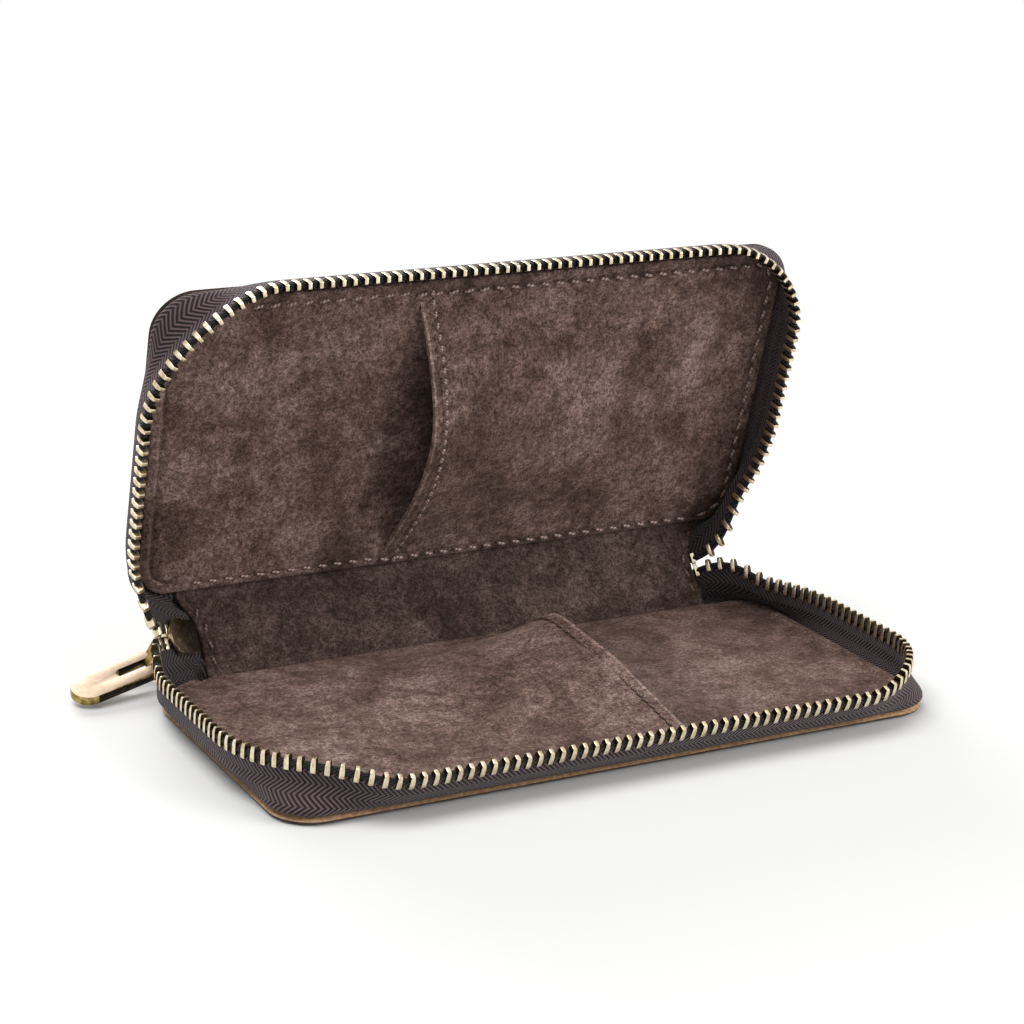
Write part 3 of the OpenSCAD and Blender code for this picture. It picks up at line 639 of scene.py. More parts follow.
def rolled_sheet(x, v, rise):
    """Lays a sheet on the outside of the case: flat, round the fold, and up the spine."""
    angle = np.clip((v - FOLD_Y) / FOLD_R, 0, FOLD_TURN)
    beyond = np.clip(v - FOLD_Y - ROLL_L, 0, None)
    before = np.clip(v - FOLD_Y, None, 0)
    r = FOLD_R - rise
    y = FOLD_Y + before + r * np.sin(angle) + beyond * np.cos(angle)
    z = FOLD_Z - r * np.cos(angle) + beyond * np.sin(angle)
    return np.stack([x, y, z], -1)


def furrow(depth, at, width, amount):
    """The groove that a row of stitches pulls in."""
    return amount * np.exp(-(((depth - at) / width) ** 2))


print("The sheet is", round(SHEET_END - FRONT_Y, 1), "mm from its front to the spine's middle")

# %% [markdown]
# ## The leather's relief
#
# The cut edge is a little rounded, the hide is thinner towards it, and the stitches pull a
# furrow along it. This could be carved afterwards, but each ring of the rim already knows how
# far inside the edge it lies, so one rule sinks it.

# %% Leather relief
# The leather's edge stands out past the CAD panel by EDGE_OUT, and is rounded by EDGE_R
EDGE_OUT, EDGE_R = 0.5, 0.5
LEATHER_DEPTHS = [-0.5, -0.4, -0.25, 0, 0.3, 0.8, 1.6, 2.3, 2.8, 3.1, 3.4, 3.6, 3.8, 4, 4.2]
LEATHER_DEPTHS += [4.5, 4.9, 5.5, 6.5, 8, RIM]


def leather_shape(x, v, depth):
    """The leather's outside: rounded at the edge, thinned towards it and furrowed."""
    inside = np.clip(EDGE_R - (depth + EDGE_OUT), 0, None)
    rise = EDGE_R - np.sqrt(EDGE_R**2 - inside**2)
    rise += 0.18 * np.exp(-depth / 1.6) + furrow(depth, STITCH_INSET, width=0.5, amount=0.42)
    return rolled_sheet(x, v, rise)


print("The leather's rim has", len(LEATHER_DEPTHS), "rings")

# %% [markdown]
# ## Leather
#
# The cover is a waxed, pull-up cowhide: matt, dark brown, with a cloudy mottle where the wax
# has moved, and a raw, pale cut edge. It could be painted, but noise in three sizes has no
# seams and keeps its true scale: clouds of wax, rubbed patches and a fine grain. A noise's
# scale is one over the size of its lumps, which is given in millimetres.

# %% Leather
MULTIPLY = {"data_type": "RGBA", "blend_type": "MULTIPLY"}


def new_material(name):
    """An empty material and its tree, with the coordinates to draw patterns by."""
    material = bpy.data.materials.new(name)
    tree = cleared(material)
    return material, tree, add_node(tree, "TexCoord").outputs


def waxed_leather():
    """Pull-up leather: a dark wax film with paler clouds and a fine, shallow grain."""
    material, tree, at = new_material("waxed_pull_up_leather")
    clouds, mottle, grain = [
        add_node(
            tree,
            "TexNoise",
            {"Scale": 1 / (lump * MM), "Detail": detail, "Roughness": rough},
            {"Vector": at["Object"]},
        )
        for lump, detail, rough in ((26, 5, 0.62), (4.5, 8, 0.72), (0.6, 3, 0.65))
    ]
    film = add_node(
        tree,
        "ValToRGB",
        {"stops": [(0.3, "#3b2d28"), (0.52, "#4a3a34"), (0.75, "#5c4a41")]},
        {"Fac": clouds},
    )
    rubbed = add_node(
        tree, "ValToRGB", {"stops": [(0.5, "#000000"), (0.72, "#c8c8c8")]}, {"Fac": mottle}
    )
    worn = add_node(
        tree, "Mix", {"data_type": "RGBA", 7: linear("#74583f")}, {0: rubbed, 6: film}
    )
    pores = add_node(
        tree, "ValToRGB", {"stops": [(0.35, "#d0d0d0"), (0.65, "#ffffff")]}, {"Fac": grain}
    )
    colour = add_node(tree, "Mix", {**MULTIPLY, 0: 0.7}, {6: worn, 7: pores})
    creases = add_node(
        tree, "Bump", {"Strength": 0.5, "Distance": 0.15 * MM}, {"Height": mottle}
    )
    relief = add_node(
        tree,
        "Bump",
        {"Strength": 0.7, "Distance": 0.07 * MM},
        {"Height": grain, "Normal": creases},
    )
    gloss = add_node(tree, "MapRange", {"To Min": 0.46, "To Max": 0.68}, {"Value": mottle})
    shader = add_node(
        tree,
        "BsdfPrincipled",
        {"IOR": 1.45, "Specular IOR Level": 0.4},
        {"Base Color": colour, "Roughness": gloss, "Normal": relief},
    )
    add_node(tree, "OutputMaterial", {}, {"Surface": shader})
    return material


def cut_leather():
    """The cut edge: raw brown fibres, burnished darker here and there."""
    material, tree, at = new_material("burnished_leather_edge")
    fibres = add_node(
        tree,
        "TexNoise",
        {"Scale": 1 / (1.2 * MM), "Detail": 6, "Roughness": 0.7},
        {"Vector": at["Object"]},
    )
    colour = add_node(
        tree,
        "ValToRGB",
        {"stops": [(0.3, "#9c7048"), (0.55, "#d4ab80"), (0.78, "#f0dcbf")]},
        {"Fac": fibres},
    )
    relief = add_node(
        tree, "Bump", {"Strength": 0.5, "Distance": 0.15 * MM}, {"Height": fibres}
    )
    shader = add_node(
        tree, "BsdfPrincipled", {"Roughness": 0.75}, {"Base Color": colour, "Normal": relief}
    )
    add_node(tree, "OutputMaterial", {}, {"Surface": shader})
    return material


leather = waxed_leather()
leather_edge = cut_leather()
print("Leather:", leather.name, leather_edge.name)

# %% [markdown]
# ## Suede
#
# Linings and pockets show the same hide's brushed side: short fibres that lie this way and
# that. They could be grown as hair, but at this size the eye sees only their clouds, strokes
# and tufts. So four noises shade one matt surface, which has a little sheen.

# %% Suede


def brushed_suede(name, dark, middle, light, shade_darkest=1.0):
    """Suede: short fibres that lie this way and that, so it is cloudy and has no gloss.
    A painted shadow, set by the last argument, darkens it towards x 20 mm, beside the base
    pocket's mouth, and lightens it a little beyond x 50 mm."""
    material, tree, at = new_material(name)
    clouds, strokes, tufts, nap = [
        add_node(
            tree,
            "TexNoise",
            {
                "Scale": 1 / (lump * MM),
                "Detail": detail,
                "Roughness": rough,
                "Distortion": swirl,
            },
            {"Vector": at["Object"]},
        )
        for lump, detail, rough, swirl in (
            (15, 5, 0.62, 0.4),
            (4.5, 4, 0.65, 0.8),
            (1.3, 3, 0.7, 0),
            (0.55, 2, 0.8, 0),
        )
    ]
    colour = add_node(
        tree,
        "ValToRGB",
        {"stops": [(0.34, dark), (0.5, middle), (0.66, light)]},
        {"Fac": clouds},
    )
    for noise, shade, share in (
        (strokes, "#9d958f", 0.7),
        (tufts, "#8f8680", 0.75),
        (nap, "#7d746e", 0.85),
    ):
        lights = add_node(
            tree, "ValToRGB", {"stops": [(0.36, shade), (0.62, "#ffffff")]}, {"Fac": noise}
        )
        colour = add_node(tree, "Mix", {**MULTIPLY, 0: share}, {6: colour, 7: lights})
    # Painted shadow beside the base pocket's mouth: darker from x 50 mm in to x 20 mm.
    beside = add_node(tree, "SeparateXYZ", {}, {"Vector": at["Object"]})
    painted_pocket_shade = add_node(
        tree,
        "MapRange",
        {
            "From Min": 20 * MM,
            "From Max": 50 * MM,
            "To Min": shade_darkest,
            "To Max": 1.0 / shade_darkest**0.15,
        },
        {"Value": beside.outputs["X"]},
    )
    colour = add_node(tree, "Mix", {**MULTIPLY, 0: 1.0}, {6: colour, 7: painted_pocket_shade})
    fuzz = add_node(tree, "Bump", {"Strength": 0.6, "Distance": 0.15 * MM}, {"Height": nap})
    relief = add_node(
        tree,
        "Bump",
        {"Strength": 0.3, "Distance": 0.3 * MM},
        {"Height": tufts, "Normal": fuzz},
    )
    shader = add_node(
        tree,
        "BsdfPrincipled",
        {
            "Roughness": 0.95,
            "Specular IOR Level": 0.15,
            "Sheen Weight": 0.2,
            "Sheen Roughness": 0.45,
            "Sheen Tint": linear("#b39a8c"),
        },
        {"Base Color": colour, "Normal": relief},
    )
    add_node(tree, "OutputMaterial", {}, {"Surface": shader})
    return material


suede = brushed_suede("brushed_suede", "#705951", "#927970", "#ae958d")
# The base lining's suede carries a painted shadow beside its pocket's mouth.
suede_with_painted_shade = brushed_suede("suede_with_painted_shade_beside_pocket", "#705951", "#927970", "#ae958d", 0.58)
# The spine strip's suede is darker as painted shade, where it lies in the fold between lid and
# base.
spine_suede_painted_shade = brushed_suede("suede_painted_shade_in_fold", "#54433d", "#6b5851", "#806c64")
# Paler suede of a cut edge, brightened as a painted highlight along the pockets' mouths.
suede_edge_highlight = brushed_suede("suede_cut_edge_and_painted_highlight", "#9a8177", "#b89f93", "#d0bbae")
print("Suede:", [m.name for m in (suede, suede_with_painted_shade, spine_suede_painted_shade, suede_edge_highlight)])

# %% [markdown]
# ## Zip tape
#
# The tape is a polyester herringbone, whose ribs turn back every 2.5 mm. Its threads could be
# modelled, but there are thousands. A wave on the tape's own UV map, bent to a zigzag, draws
# the ribs and lifts them, and the map follows the tape round its bends.

# %% Zip tape
RIB_PITCH, ZIGZAG = 1.2, 2.5


def herringbone_tape(name, stops):
    """Zip tape: ribs in a zigzag. The UV map is in mm along and across it, and the tape's
    colour is darkened towards the spine as painted shade."""
    material, tree, at = new_material(name)
    split = add_node(tree, "SeparateXYZ", {}, {"Vector": at["UV"]})
    along, across = split.outputs["X"], split.outputs["Y"]
    zigzag = add_node(tree, "Math", {"operation": "PINGPONG", 1: ZIGZAG}, {0: across})
    slanted = add_node(tree, "Math", {"operation": "ADD"}, {0: along, 1: zigzag})
    per_rib = 2 * math.pi / RIB_PITCH
    turns = add_node(tree, "Math", {"operation": "MULTIPLY", 1: per_rib}, {0: slanted})
    wave = add_node(tree, "Math", {"operation": "SINE"}, {0: turns})
    rib = add_node(tree, "MapRange", {"From Min": -1.0, "From Max": 1.0}, {"Value": wave})
    fuzz = add_node(
        tree,
        "TexNoise",
        {"Scale": 1 / (0.6 * MM), "Detail": 3, "Roughness": 0.7},
        {"Vector": at["Object"]},
    )
    yarn = add_node(tree, "ValToRGB", {"stops": stops}, {"Fac": rib})
    dust = add_node(
        tree, "ValToRGB", {"stops": [(0.3, "#c6c0c0"), (0.7, "#ffffff")]}, {"Fac": fuzz}
    )
    colour = add_node(tree, "Mix", {**MULTIPLY, 0: 0.6}, {6: yarn, 7: dust})
    # Painted shade: the colour darkens along the chain, from 118 to 158 mm, towards the spine.
    painted_shade_to_spine = add_node(
        tree,
        "MapRange",
        {"From Min": 118, "From Max": 158, "To Min": 1.0, "To Max": 0.55},
        {"Value": along},
    )
    shaded = add_node(tree, "Mix", {**MULTIPLY, 0: 1.0}, {6: colour, 7: painted_shade_to_spine})
    ribs = add_node(tree, "Bump", {"Strength": 0.9, "Distance": 0.3 * MM}, {"Height": rib})
    relief = add_node(
        tree,
        "Bump",
        {"Strength": 0.4, "Distance": 0.08 * MM},
        {"Height": fuzz, "Normal": ribs},
    )
    shader = add_node(
        tree,
        "BsdfPrincipled",
        {"Roughness": 0.82, "Specular IOR Level": 0.25, "Sheen Weight": 0.1},
        {"Base Color": shaded, "Normal": relief},
    )
    add_node(tree, "OutputMaterial", {}, {"Surface": shader})
    return material


tape = herringbone_tape(
    "woven_herringbone_tape", [(0.15, "#1b1215"), (0.5, "#37292d"), (0.9, "#685459")]
)
# The cord is near black, as painted shade between and under the teeth.
cord_painted_shade = herringbone_tape(
    "cord_painted_shade_under_teeth", [(0.15, "#050404"), (0.5, "#110d0e"), (0.9, "#2b2223")]
)
print("Tape:", tape.name, cord_painted_shade.name)

# %% [markdown]
# ## Antique brass
#
# The zip's metal is plated, darkened in a bath, and rubbed bright again where it is handled.
# One colour would look like paint, because this wear comes in patches. So a noise picks
# between three tones, a finer one varies the gloss, and four sets of tones are states of the
# same finish. The rubbed and the edge tones are also painted highlights on bevels and small
# faces, and the dark tone is painted shade on teeth flanks and long walls.

# %% Antique brass


def antique_brass(name, stops, smoothest):
    """Antique brass: plated, darkened in a bath, then rubbed bright where hands reach."""
    material, tree, at = new_material(name)
    patina, scratches = [
        add_node(
            tree,
            "TexNoise",
            {"Scale": 1 / (lump * MM), "Detail": detail, "Roughness": rough},
            {"Vector": at["Object"]},
        )
        for lump, detail, rough in ((1.6, 5, 0.65), (0.5, 3, 0.7))
    ]
    colour = add_node(tree, "ValToRGB", {"stops": stops}, {"Fac": patina})
    rough = add_node(
        tree, "MapRange", {"To Min": smoothest, "To Max": smoothest + 0.2}, {"Value": scratches}
    )
    relief = add_node(
        tree, "Bump", {"Strength": 0.4, "Distance": 0.03 * MM}, {"Height": scratches}
    )
    shader = add_node(
        tree,
        "BsdfPrincipled",
        {"Metallic": 1.0},
        {"Base Color": colour, "Roughness": rough, "Normal": relief},
    )
    add_node(tree, "OutputMaterial", {}, {"Surface": shader})
    return material


# Rubbed and edge brass, also used as painted highlights on the castings' bevels and small
# faces.
bright_brass = antique_brass(
    "antique_brass_rubbed_and_painted_highlight", [(0.3, "#b39c77"), (0.5, "#dfceae"), (0.7, "#f5ead5")], 0.24
)
gold_brass = antique_brass(
    "antique_brass_edge", [(0.3, "#54431f"), (0.5, "#9a8148"), (0.72, "#d8c48c")], 0.28
)
worn_brass = antique_brass(
    "antique_brass_handled", [(0.3, "#a3907b"), (0.5, "#ae9b86"), (0.72, "#b9a690")], 0.4
)
# Bath dark brass, also used as painted shade on teeth flanks and the castings' long walls.
dark_brass = antique_brass(
    "antique_brass_bath_dark_and_painted_shade", [(0.3, "#1b1611"), (0.55, "#32291f"), (0.75, "#554833")], 0.36
)
print("Brass:", [m.name for m in (bright_brass, gold_brass, worn_brass, dark_brass)])

# %% [markdown]
# ## Waxed thread
#
# The seams are sewn with waxed polyester, whose plies show as slanting ridges. They could be
# twisted in the mesh, but there are hundreds of stitches. A wave on each stitch's UV map
# draws them on a plain form instead.

# %% Waxed thread
PLIES = 5.0


def waxed_thread(name, dark, light):
    """Waxed thread: plies laid together, seen as slanting ridges along each stitch, which is
    darkened at both ends as painted shade, where it dives into the hide."""
    material, tree, at = new_material(name)
    split = add_node(tree, "SeparateXYZ", {}, {"Vector": at["UV"]})
    round_it, along = split.outputs["X"], split.outputs["Y"]
    lay = add_node(
        tree, "Math", {"operation": "MULTIPLY_ADD", 1: PLIES}, {0: along, 2: round_it}
    )
    turns = add_node(tree, "Math", {"operation": "MULTIPLY", 1: 2 * math.pi}, {0: lay})
    wave = add_node(tree, "Math", {"operation": "SINE"}, {0: turns})
    ridge = add_node(tree, "MapRange", {"From Min": -1.0, "From Max": 1.0}, {"Value": wave})
    plies = add_node(
        tree, "ValToRGB", {"stops": [(0.1, dark), (0.8, light)]}, {"Fac": ridge}
    )
    # Painted shade where the thread dives into its holes: darker at both ends.
    ends = [(0.2, "#1d1512"), (0.34, "#ffffff"), (0.66, "#ffffff"), (0.8, "#1d1512")]
    sunk = add_node(tree, "ValToRGB", {"stops": ends}, {"Fac": along})
    colour = add_node(tree, "Mix", {**MULTIPLY, 0: 0.9}, {6: plies, 7: sunk})
    relief = add_node(
        tree, "Bump", {"Strength": 0.6, "Distance": 0.12 * MM}, {"Height": ridge}
    )
    shader = add_node(
        tree, "BsdfPrincipled", {"Roughness": 0.6}, {"Base Color": colour, "Normal": relief}
    )
    add_node(tree, "OutputMaterial", {}, {"Surface": shader})
    return material


thread_out = waxed_thread("waxed_thread_outside", "#543a32", "#84665b")
thread_in = waxed_thread("waxed_thread_inside", "#64504a", "#ab9187")
# Darker thread as painted shade, for stitches that lie deep in a furrow.
thread_painted_shade = waxed_thread("waxed_thread_painted_furrow_shade", "#3a2a26", "#6f574b")
print("Thread:", thread_out.name, thread_in.name, thread_painted_shade.name)

# %% [markdown]
# ## The two halves of the cover
#
# Solidify thickens each half towards the inside and gives the edge that it adds a second
# material. The base shows the raw, pale cut of its leather. The lid's edge is waxed over.

# %% Cover
for side in SIDES:
    sheet = sheet_with_rim(side + "_leather", LEATHER_DEPTHS, leather_shape)
    dressed(sheet, leather, leather_edge if side == "base" else leather)
    finished(
        sheet,
        "SOLIDIFY",
        thickness=(LEATHER_T - 0.05) * MM,
        offset=1,
        use_even_offset=True,
        use_rim=True,
        material_offset_rim=1,
    )
    to_side(sheet, side)
    smoothed(sheet, 50)
    fold_blend(sheet)
    stands_for(sheet, side + "_cover", "spine_cover")
    print(sheet.name, len(sheet.data.polygons), "faces")

# %% [markdown]
# ## The linings
#
# Each panel is lined with one piece of suede, glued down and sewn round. It stops short of
# the fold with a plain cut edge. It is a sheet with a rim, as the cover is, so that its
# stitches pull it down too.

# %% Linings
LINING_INSET, LINING_R = 0.8, 0.5
LINING_BACK = FOLD_Y - 2.6
FOLD_ROW = 2.0
LINING_DEPTHS = [0.8, 0.85, 0.95, 1.1, 1.4, 1.8, 2.3, 2.7, 3, 3.3, 3.6, 3.8, 4, 4.3, 4.8]
LINING_DEPTHS += [5.6, 7, 8.4, RIM]


def edge_depth(x, y):
    """How far inside the outline a point lies."""
    x = np.abs(x)
    n = np.array([math.cos(SHOULDER_TURN), math.sin(SHOULDER_TURN)])
    bevel = n @ np.array([SPINE_HALF, BACK_Y]) - n[0] * x - n[1] * y
    depth = np.minimum(np.minimum(HALF_L - x, y - FRONT_Y), bevel)
    corner = CORNER_R - np.hypot(x - CORNER_X, y - CORNER_Y)
    depth = np.where((x > CORNER_X) & (y < CORNER_Y), corner, depth)
    shoulder = CORNER_R - np.hypot(x - SHOULDER_X, y - SHOULDER_Y)
    turn = np.arctan2(y - SHOULDER_Y, x - SHOULDER_X)
    on_arc = (x > SHOULDER_X) & (y > SHOULDER_Y) & (turn < SHOULDER_TURN)
    return np.where(on_arc, shoulder, depth)


def panel_lining(side):
    """One panel's suede: rounded at its cut edge, furrowed by its stitches, a little uneven."""

    def shape(x, y, depth):
        inside = np.clip(LINING_R - (depth - LINING_INSET), 0, None)
        z = PANEL_T - (LINING_R - np.sqrt(LINING_R**2 - inside**2))
        z += 0.15 * (1 - np.exp(-(depth - LINING_INSET) / 1.2))
        z -= furrow(edge_depth(x, y), STITCH_INSET, width=0.6, amount=0.5)
        if side == "lid":
            z -= furrow(LINING_BACK - y, FOLD_ROW, width=0.55, amount=0.35)
        z += 0.06 * np.sin(x * 0.21 + 1.3) * np.sin(y * 0.17) * smooth((depth - 2) / 6)
        return np.stack([x, y, z], -1)

    back = LINING_BACK + LINING_INSET
    sheet = sheet_with_rim(side + "_suede", LINING_DEPTHS, shape, back)
    finished(sheet, "SOLIDIFY", thickness=SUEDE_T * MM, offset=-1)
    to_side(sheet, side)
    # The base lining takes the suede with the painted shadow beside its pocket's mouth.
    dressed(sheet, suede_with_painted_shade if side == "base" else suede)
    smoothed(sheet, 50)
    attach(sheet, side)
    stands_for(sheet, side + "_lining")
    return sheet


print("A lining's rim has", len(LINING_DEPTHS), "rings, and the last is", RIM, "mm inside")

# %% [markdown]
# ## The strip along the spine
#
# A thinner strip of the same suede lines the spine and runs out under both panels' linings,
# which hides the folds. It is laid in two halves, as the cover is, and each half bends round
# one fold.

# %% Spine strip
STRIP_T, STRIP_DROP, STRIP_FILLET = 0.8, 0.75, 1.2
STRIP_FLARE = {"base": 0.4, "lid": 3.6}


def strip_flare(side, along):
    """The strip's ends are cut hollow: wide beside the lid and narrow elsewhere."""
    return STRIP_FLARE[side] * np.exp(-((np.clip(along, 0, None) / 5.5) ** 2))


def spine_strip(side):
    """Half of the strip: from under the panel, round the fold, to the spine's middle."""
    level, fillet = PANEL_T - STRIP_DROP, STRIP_FILLET
    up = np.array([math.cos(FOLD_TURN), math.sin(FOLD_TURN)])
    on_spine = rolled(
        np.array([[0, BACK_Y - PANEL_T, FOLD_Z]]), np.array([-SPINE_OPEN]), FOLD_Y, FOLD_Z
    )[0, 1:]
    knee = on_spine - up * (on_spine[1] - level) / up[1]
    tangent = fillet * math.tan(FOLD_TURN / 2)
    reach = SPINE_SPAN / 2 + np.linalg.norm(on_spine - knee)
    bend = fillet * FOLD_TURN
    vs = [-3.2, -2, -1.2, -tangent] + [-tangent + bend * t for t in np.linspace(0.15, 1, 6)]
    vs += [-tangent + bend + t for t in (0.3, 0.8, 1.6, 3, 5, 7, 9)]
    vs.append(-tangent + bend + reach - tangent)
    ends = [0, 0.06, 0.15, 0.3, 0.5, 0.8, 1.2, 1.6, 1.9, 2.2, 2.5, 2.9, 3.5, 4.5]
    half = SPINE_HALF - LINING_INSET
    us = [-half + e for e in ends] + list(np.linspace(-half + 8, half - 8, 31))
    us += [half - e for e in ends[::-1]]

    def place(x, v):
        a = np.clip((v + tangent) / fillet, 0, FOLD_TURN)
        along = np.clip(v + tangent, None, 0) - tangent
        beyond = np.clip(v + tangent - bend, 0, None)
        y = knee[0] + along + fillet * np.sin(a) + beyond * up[0]
        z = knee[1] + fillet * (1 - np.cos(a)) + beyond * up[1]
        edge = half - np.abs(x)
        sink = 0.4 * np.exp(-edge / 0.18)
        sink += furrow(edge, END_INSET - LINING_INSET, width=0.5, amount=0.3) * smooth(v)
        normal = np.stack([-np.sin(a), np.cos(a)], -1)
        y, z = y - sink * normal[:, 0], z - sink * normal[:, 1]
        return np.stack([x * (1 + strip_flare(side, v) / half), y, z], -1)

    sheet = laid(side + "_spine_suede_painted_shade", us, vs, place)
    finished(sheet, "SOLIDIFY", thickness=STRIP_T * MM, offset=-1)
    to_side(sheet, side)
    # Darker suede: painted shade in the fold.
    dressed(sheet, spine_suede_painted_shade)
    smoothed(sheet, 50)
    fold_blend(sheet)
    stands_for(sheet, "spine_lining")


for side in SIDES:
    panel_lining(side)
    spine_strip(side)

# %% [markdown]
# ## The pockets
#
# A pocket is a sheet of suede, sewn down on three sides and open at its mouth. It bellies up
# towards the mouth, because a watch is pushed in under it. It is laid by the same rule as its
# solid, with finer creases that fan out from the corners, where the seams pull.

# %% Pockets
POCKET_INSET, POCKET_FRONT, POCKET_BACK = 2.2, FRONT_Y + 2.2, LINING_BACK - 0.4
POCKET_RISE = {"base": 12.2, "lid": 10.0}
CLOSED_HAND = {"base": -1, "lid": 1}
MOUTH_HIGHLIGHT_COLUMNS = 3


def edge_x(y, d):
    """Half the panel's width at y, d inside the outline."""
    r = CORNER_R - d
    front = CORNER_X + np.sqrt(np.clip(r**2 - np.clip(CORNER_Y - y, 0, None) ** 2, 0, None))
    back = SHOULDER_X + np.sqrt(np.clip(r**2 - np.clip(y - SHOULDER_Y, 0, None) ** 2, 0, None))
    c, s = math.cos(SHOULDER_TURN), math.sin(SHOULDER_TURN)
    bevel = (c * SPINE_HALF + s * BACK_Y - d - s * y) / c
    back = np.where(y > SHOULDER_Y + r * s, bevel, back)
    return np.minimum(front, back)


def mouth_x(side, v):
    """Where the pocket's mouth crosses v."""
    if side == "lid":
        return -19.5 + 4.4 * np.sin(math.pi * v)
    turn = np.clip((v - 0.78) / 0.22, 0, 1)
    return 18 - 7 * v**2 - 5 * (1 - np.cos(QUARTER * turn))


def pocket_y(v):
    """How far back on the case v lies."""
    return POCKET_FRONT + v * (POCKET_BACK - POCKET_FRONT)


def pocket_point(side, u, v):
    """A point of the pocket's underside. u runs to the mouth and v to the spine."""
    y = pocket_y(v)
    closed = CLOSED_HAND[side] * edge_x(y, POCKET_INSET)
    x = closed + u * (mouth_x(side, v) - closed)
    along = np.clip((u - 0.05) / 0.95, 0, 1)
    across = np.clip((v - 0.045) / 0.91, 0, 1)
    if side == "lid":
        rise = along**1.5 * np.sin(math.pi * across)
    else:
        up, down = np.maximum(across, 1e-3) / 0.8, np.maximum(1 - across, 1e-3) / 0.2
        rise = along**3 * ((up**-5 + down**-5) ** -0.2 - 1e-3 / 0.2)
    return np.stack([x, y, PANEL_T + POCKET_RISE[side] * np.maximum(rise, 0)], -1)


def pocket_uv(side, x, y):
    """Where on the pocket a point of the plan lies."""
    v = (y - POCKET_FRONT) / (POCKET_BACK - POCKET_FRONT)
    closed = CLOSED_HAND[side] * edge_x(y, POCKET_INSET)
    return (x - closed) / (mouth_x(side, v) - closed), v

# %% [markdown]
# ## The pockets' creases
#
# The sheet turns down to its seams at its edges, so its grid is finest there.

# %% Pocket sheets


def fine_at_ends(count, fine):
    """Grid lines from 0 to 1 that crowd at both ends."""
    middle = np.linspace(fine[-1], 1 - fine[-1], count)[1:-1]
    return list(fine) + list(middle) + [1 - f for f in fine[::-1]]


def pocket_sheet(side):
    """One pocket. Its cut edges and the columns at its mouth take a paler suede: a cut edge's
    colour, brightened as a painted highlight along the mouth.
    """
    us = fine_at_ends(70, [0, 0.001, 0.003, 0.007, 0.013, 0.02, 0.026, 0.031, 0.036, 0.043])
    vs = fine_at_ends(60, [0, 0.0015, 0.005, 0.01, 0.015, 0.019, 0.023, 0.028, 0.035, 0.045])

    def place(u, v):
        p = pocket_point(side, u, v)
        from_mouth = np.abs(mouth_x(side, v) - p[:, 0])
        lift = -furrow(edge_depth(p[:, 0], p[:, 1]), STITCH_INSET, width=0.6, amount=0.5)
        lift -= furrow(from_mouth, MOUTH_INSET, width=0.6, amount=0.4)
        if side == "lid":
            lift -= furrow(LINING_BACK - p[:, 1], FOLD_ROW, width=0.55, amount=0.3)
        fan = np.sin(9 * v + 4 * u) * 0.35 + np.sin(21 * v - 9 * u + 1) * 0.14
        lift += fan * smooth((u - 0.15) / 0.5) * smooth(v * 6) * smooth((1 - v) * 6)
        p[:, 2] += lift
        return p

    sheet = dressed(laid(side + "_pocket_suede", us, vs, place), suede, suede_edge_highlight)
    columns = len(us) - 1
    # The last columns at the mouth take the paler suede as a painted highlight.
    for face in sheet.data.polygons:
        face.material_index = int(face.index % columns >= columns - MOUTH_HIGHLIGHT_COLUMNS)
    finished(sheet, "SOLIDIFY", thickness=SUEDE_T * MM, offset=1, material_offset_rim=1)
    if CLOSED_HAND[side] > 0:
        in_edit(sheet, FACE_OUT)
    to_side(sheet, side)
    smoothed(sheet, 50)
    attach(sheet, side)
    stands_for(sheet, side + "_pocket")


for side in SIDES:
    pocket_sheet(side)

# %% [markdown]
# ## Tape and cord
#
# The zip's tape is sewn between leather and lining and bellies out to the chain, which makes
# the soft wall. Its edge is woven round a cord, and each tooth is clamped on that cord. The
# front of a tape leans with the gusset and its ends follow the spine, so each is two pieces
# on each hand, which bend across one joint each.

# %% Tape curves
STRAIGHT, TUCK, HEM_IN = 2.4, 2.5, 1.5
STRAIGHT_T = 0.8
TAPE_TS = [-0.1, 0, 0.04, 0.1, 0.18, 0.27, 0.36, 0.45, 0.54, 0.63, 0.72, STRAIGHT_T, 0.9, 1]
TAPE_W = 10.5
CORD_TURNS = np.linspace(0, 1, 11)
UP = np.array([0.0, 0.0, 1.0])


def open_share(points, hand):
    """How far points of the closed case follow the spine when it is laid half open."""
    share = turn_share(points, hand)
    for _ in range(60):
        out = rolled(points, -SPINE_OPEN * share, FOLD_Y, FOLD_Z)
        share = 0.5 * share + 0.5 * turn_share(out, hand)
    return share


def opened(points, hand):
    """Points of the closed case, where they are when it is half open."""
    return rolled(points, -SPINE_OPEN * open_share(points, hand), FOLD_Y, FOLD_Z)


def on_chain(s, z, hand):
    """Points over the chain's path at height z, and their outward directions."""
    place, ahead = read(CHAIN[hand], s)
    place = place + ahead * np.clip(s - CHAIN_L[hand], 0, None)[:, None]
    return raised(place, z), raised(outward(ahead), 0)


def tape_section(root, out, rise, grip, foot, up, t):
    """The tape's curve from hem to cord. Below 0 it is in the hem. It leaves the hem at 35
    degrees to the panel, and beyond STRAIGHT_T it runs straight to the cord."""
    span = np.linalg.norm(grip - root, axis=1)[:, None]
    near = np.minimum(3, 0.35 * span)
    far = np.minimum(3.4, 0.4 * span)
    w = np.clip(t / STRAIGHT_T, 0, 1)[:, None]
    curve = bezier(root, root + near * (0.82 * out + 0.57 * rise), grip - far * up, grip, w)
    hem = HEM_IN * np.clip(t, None, 0)[:, None] * 10 * out
    return curve + hem + (foot - grip) * np.clip((t - STRAIGHT_T) / 0.2, 0, 1)[:, None]


def front_tape(s, t, hand):
    """The tape's front and corners, which rise straight out of the hem."""
    foot, _ = on_chain(s, TAPE_END, hand)
    hem, ahead = read(outline, root_walk(s, hand))
    root, out = raised(hem, HEM_MID), raised(outward(ahead), 0)
    return tape_section(root, out, UP, foot - STRAIGHT * UP, foot, UP, t)


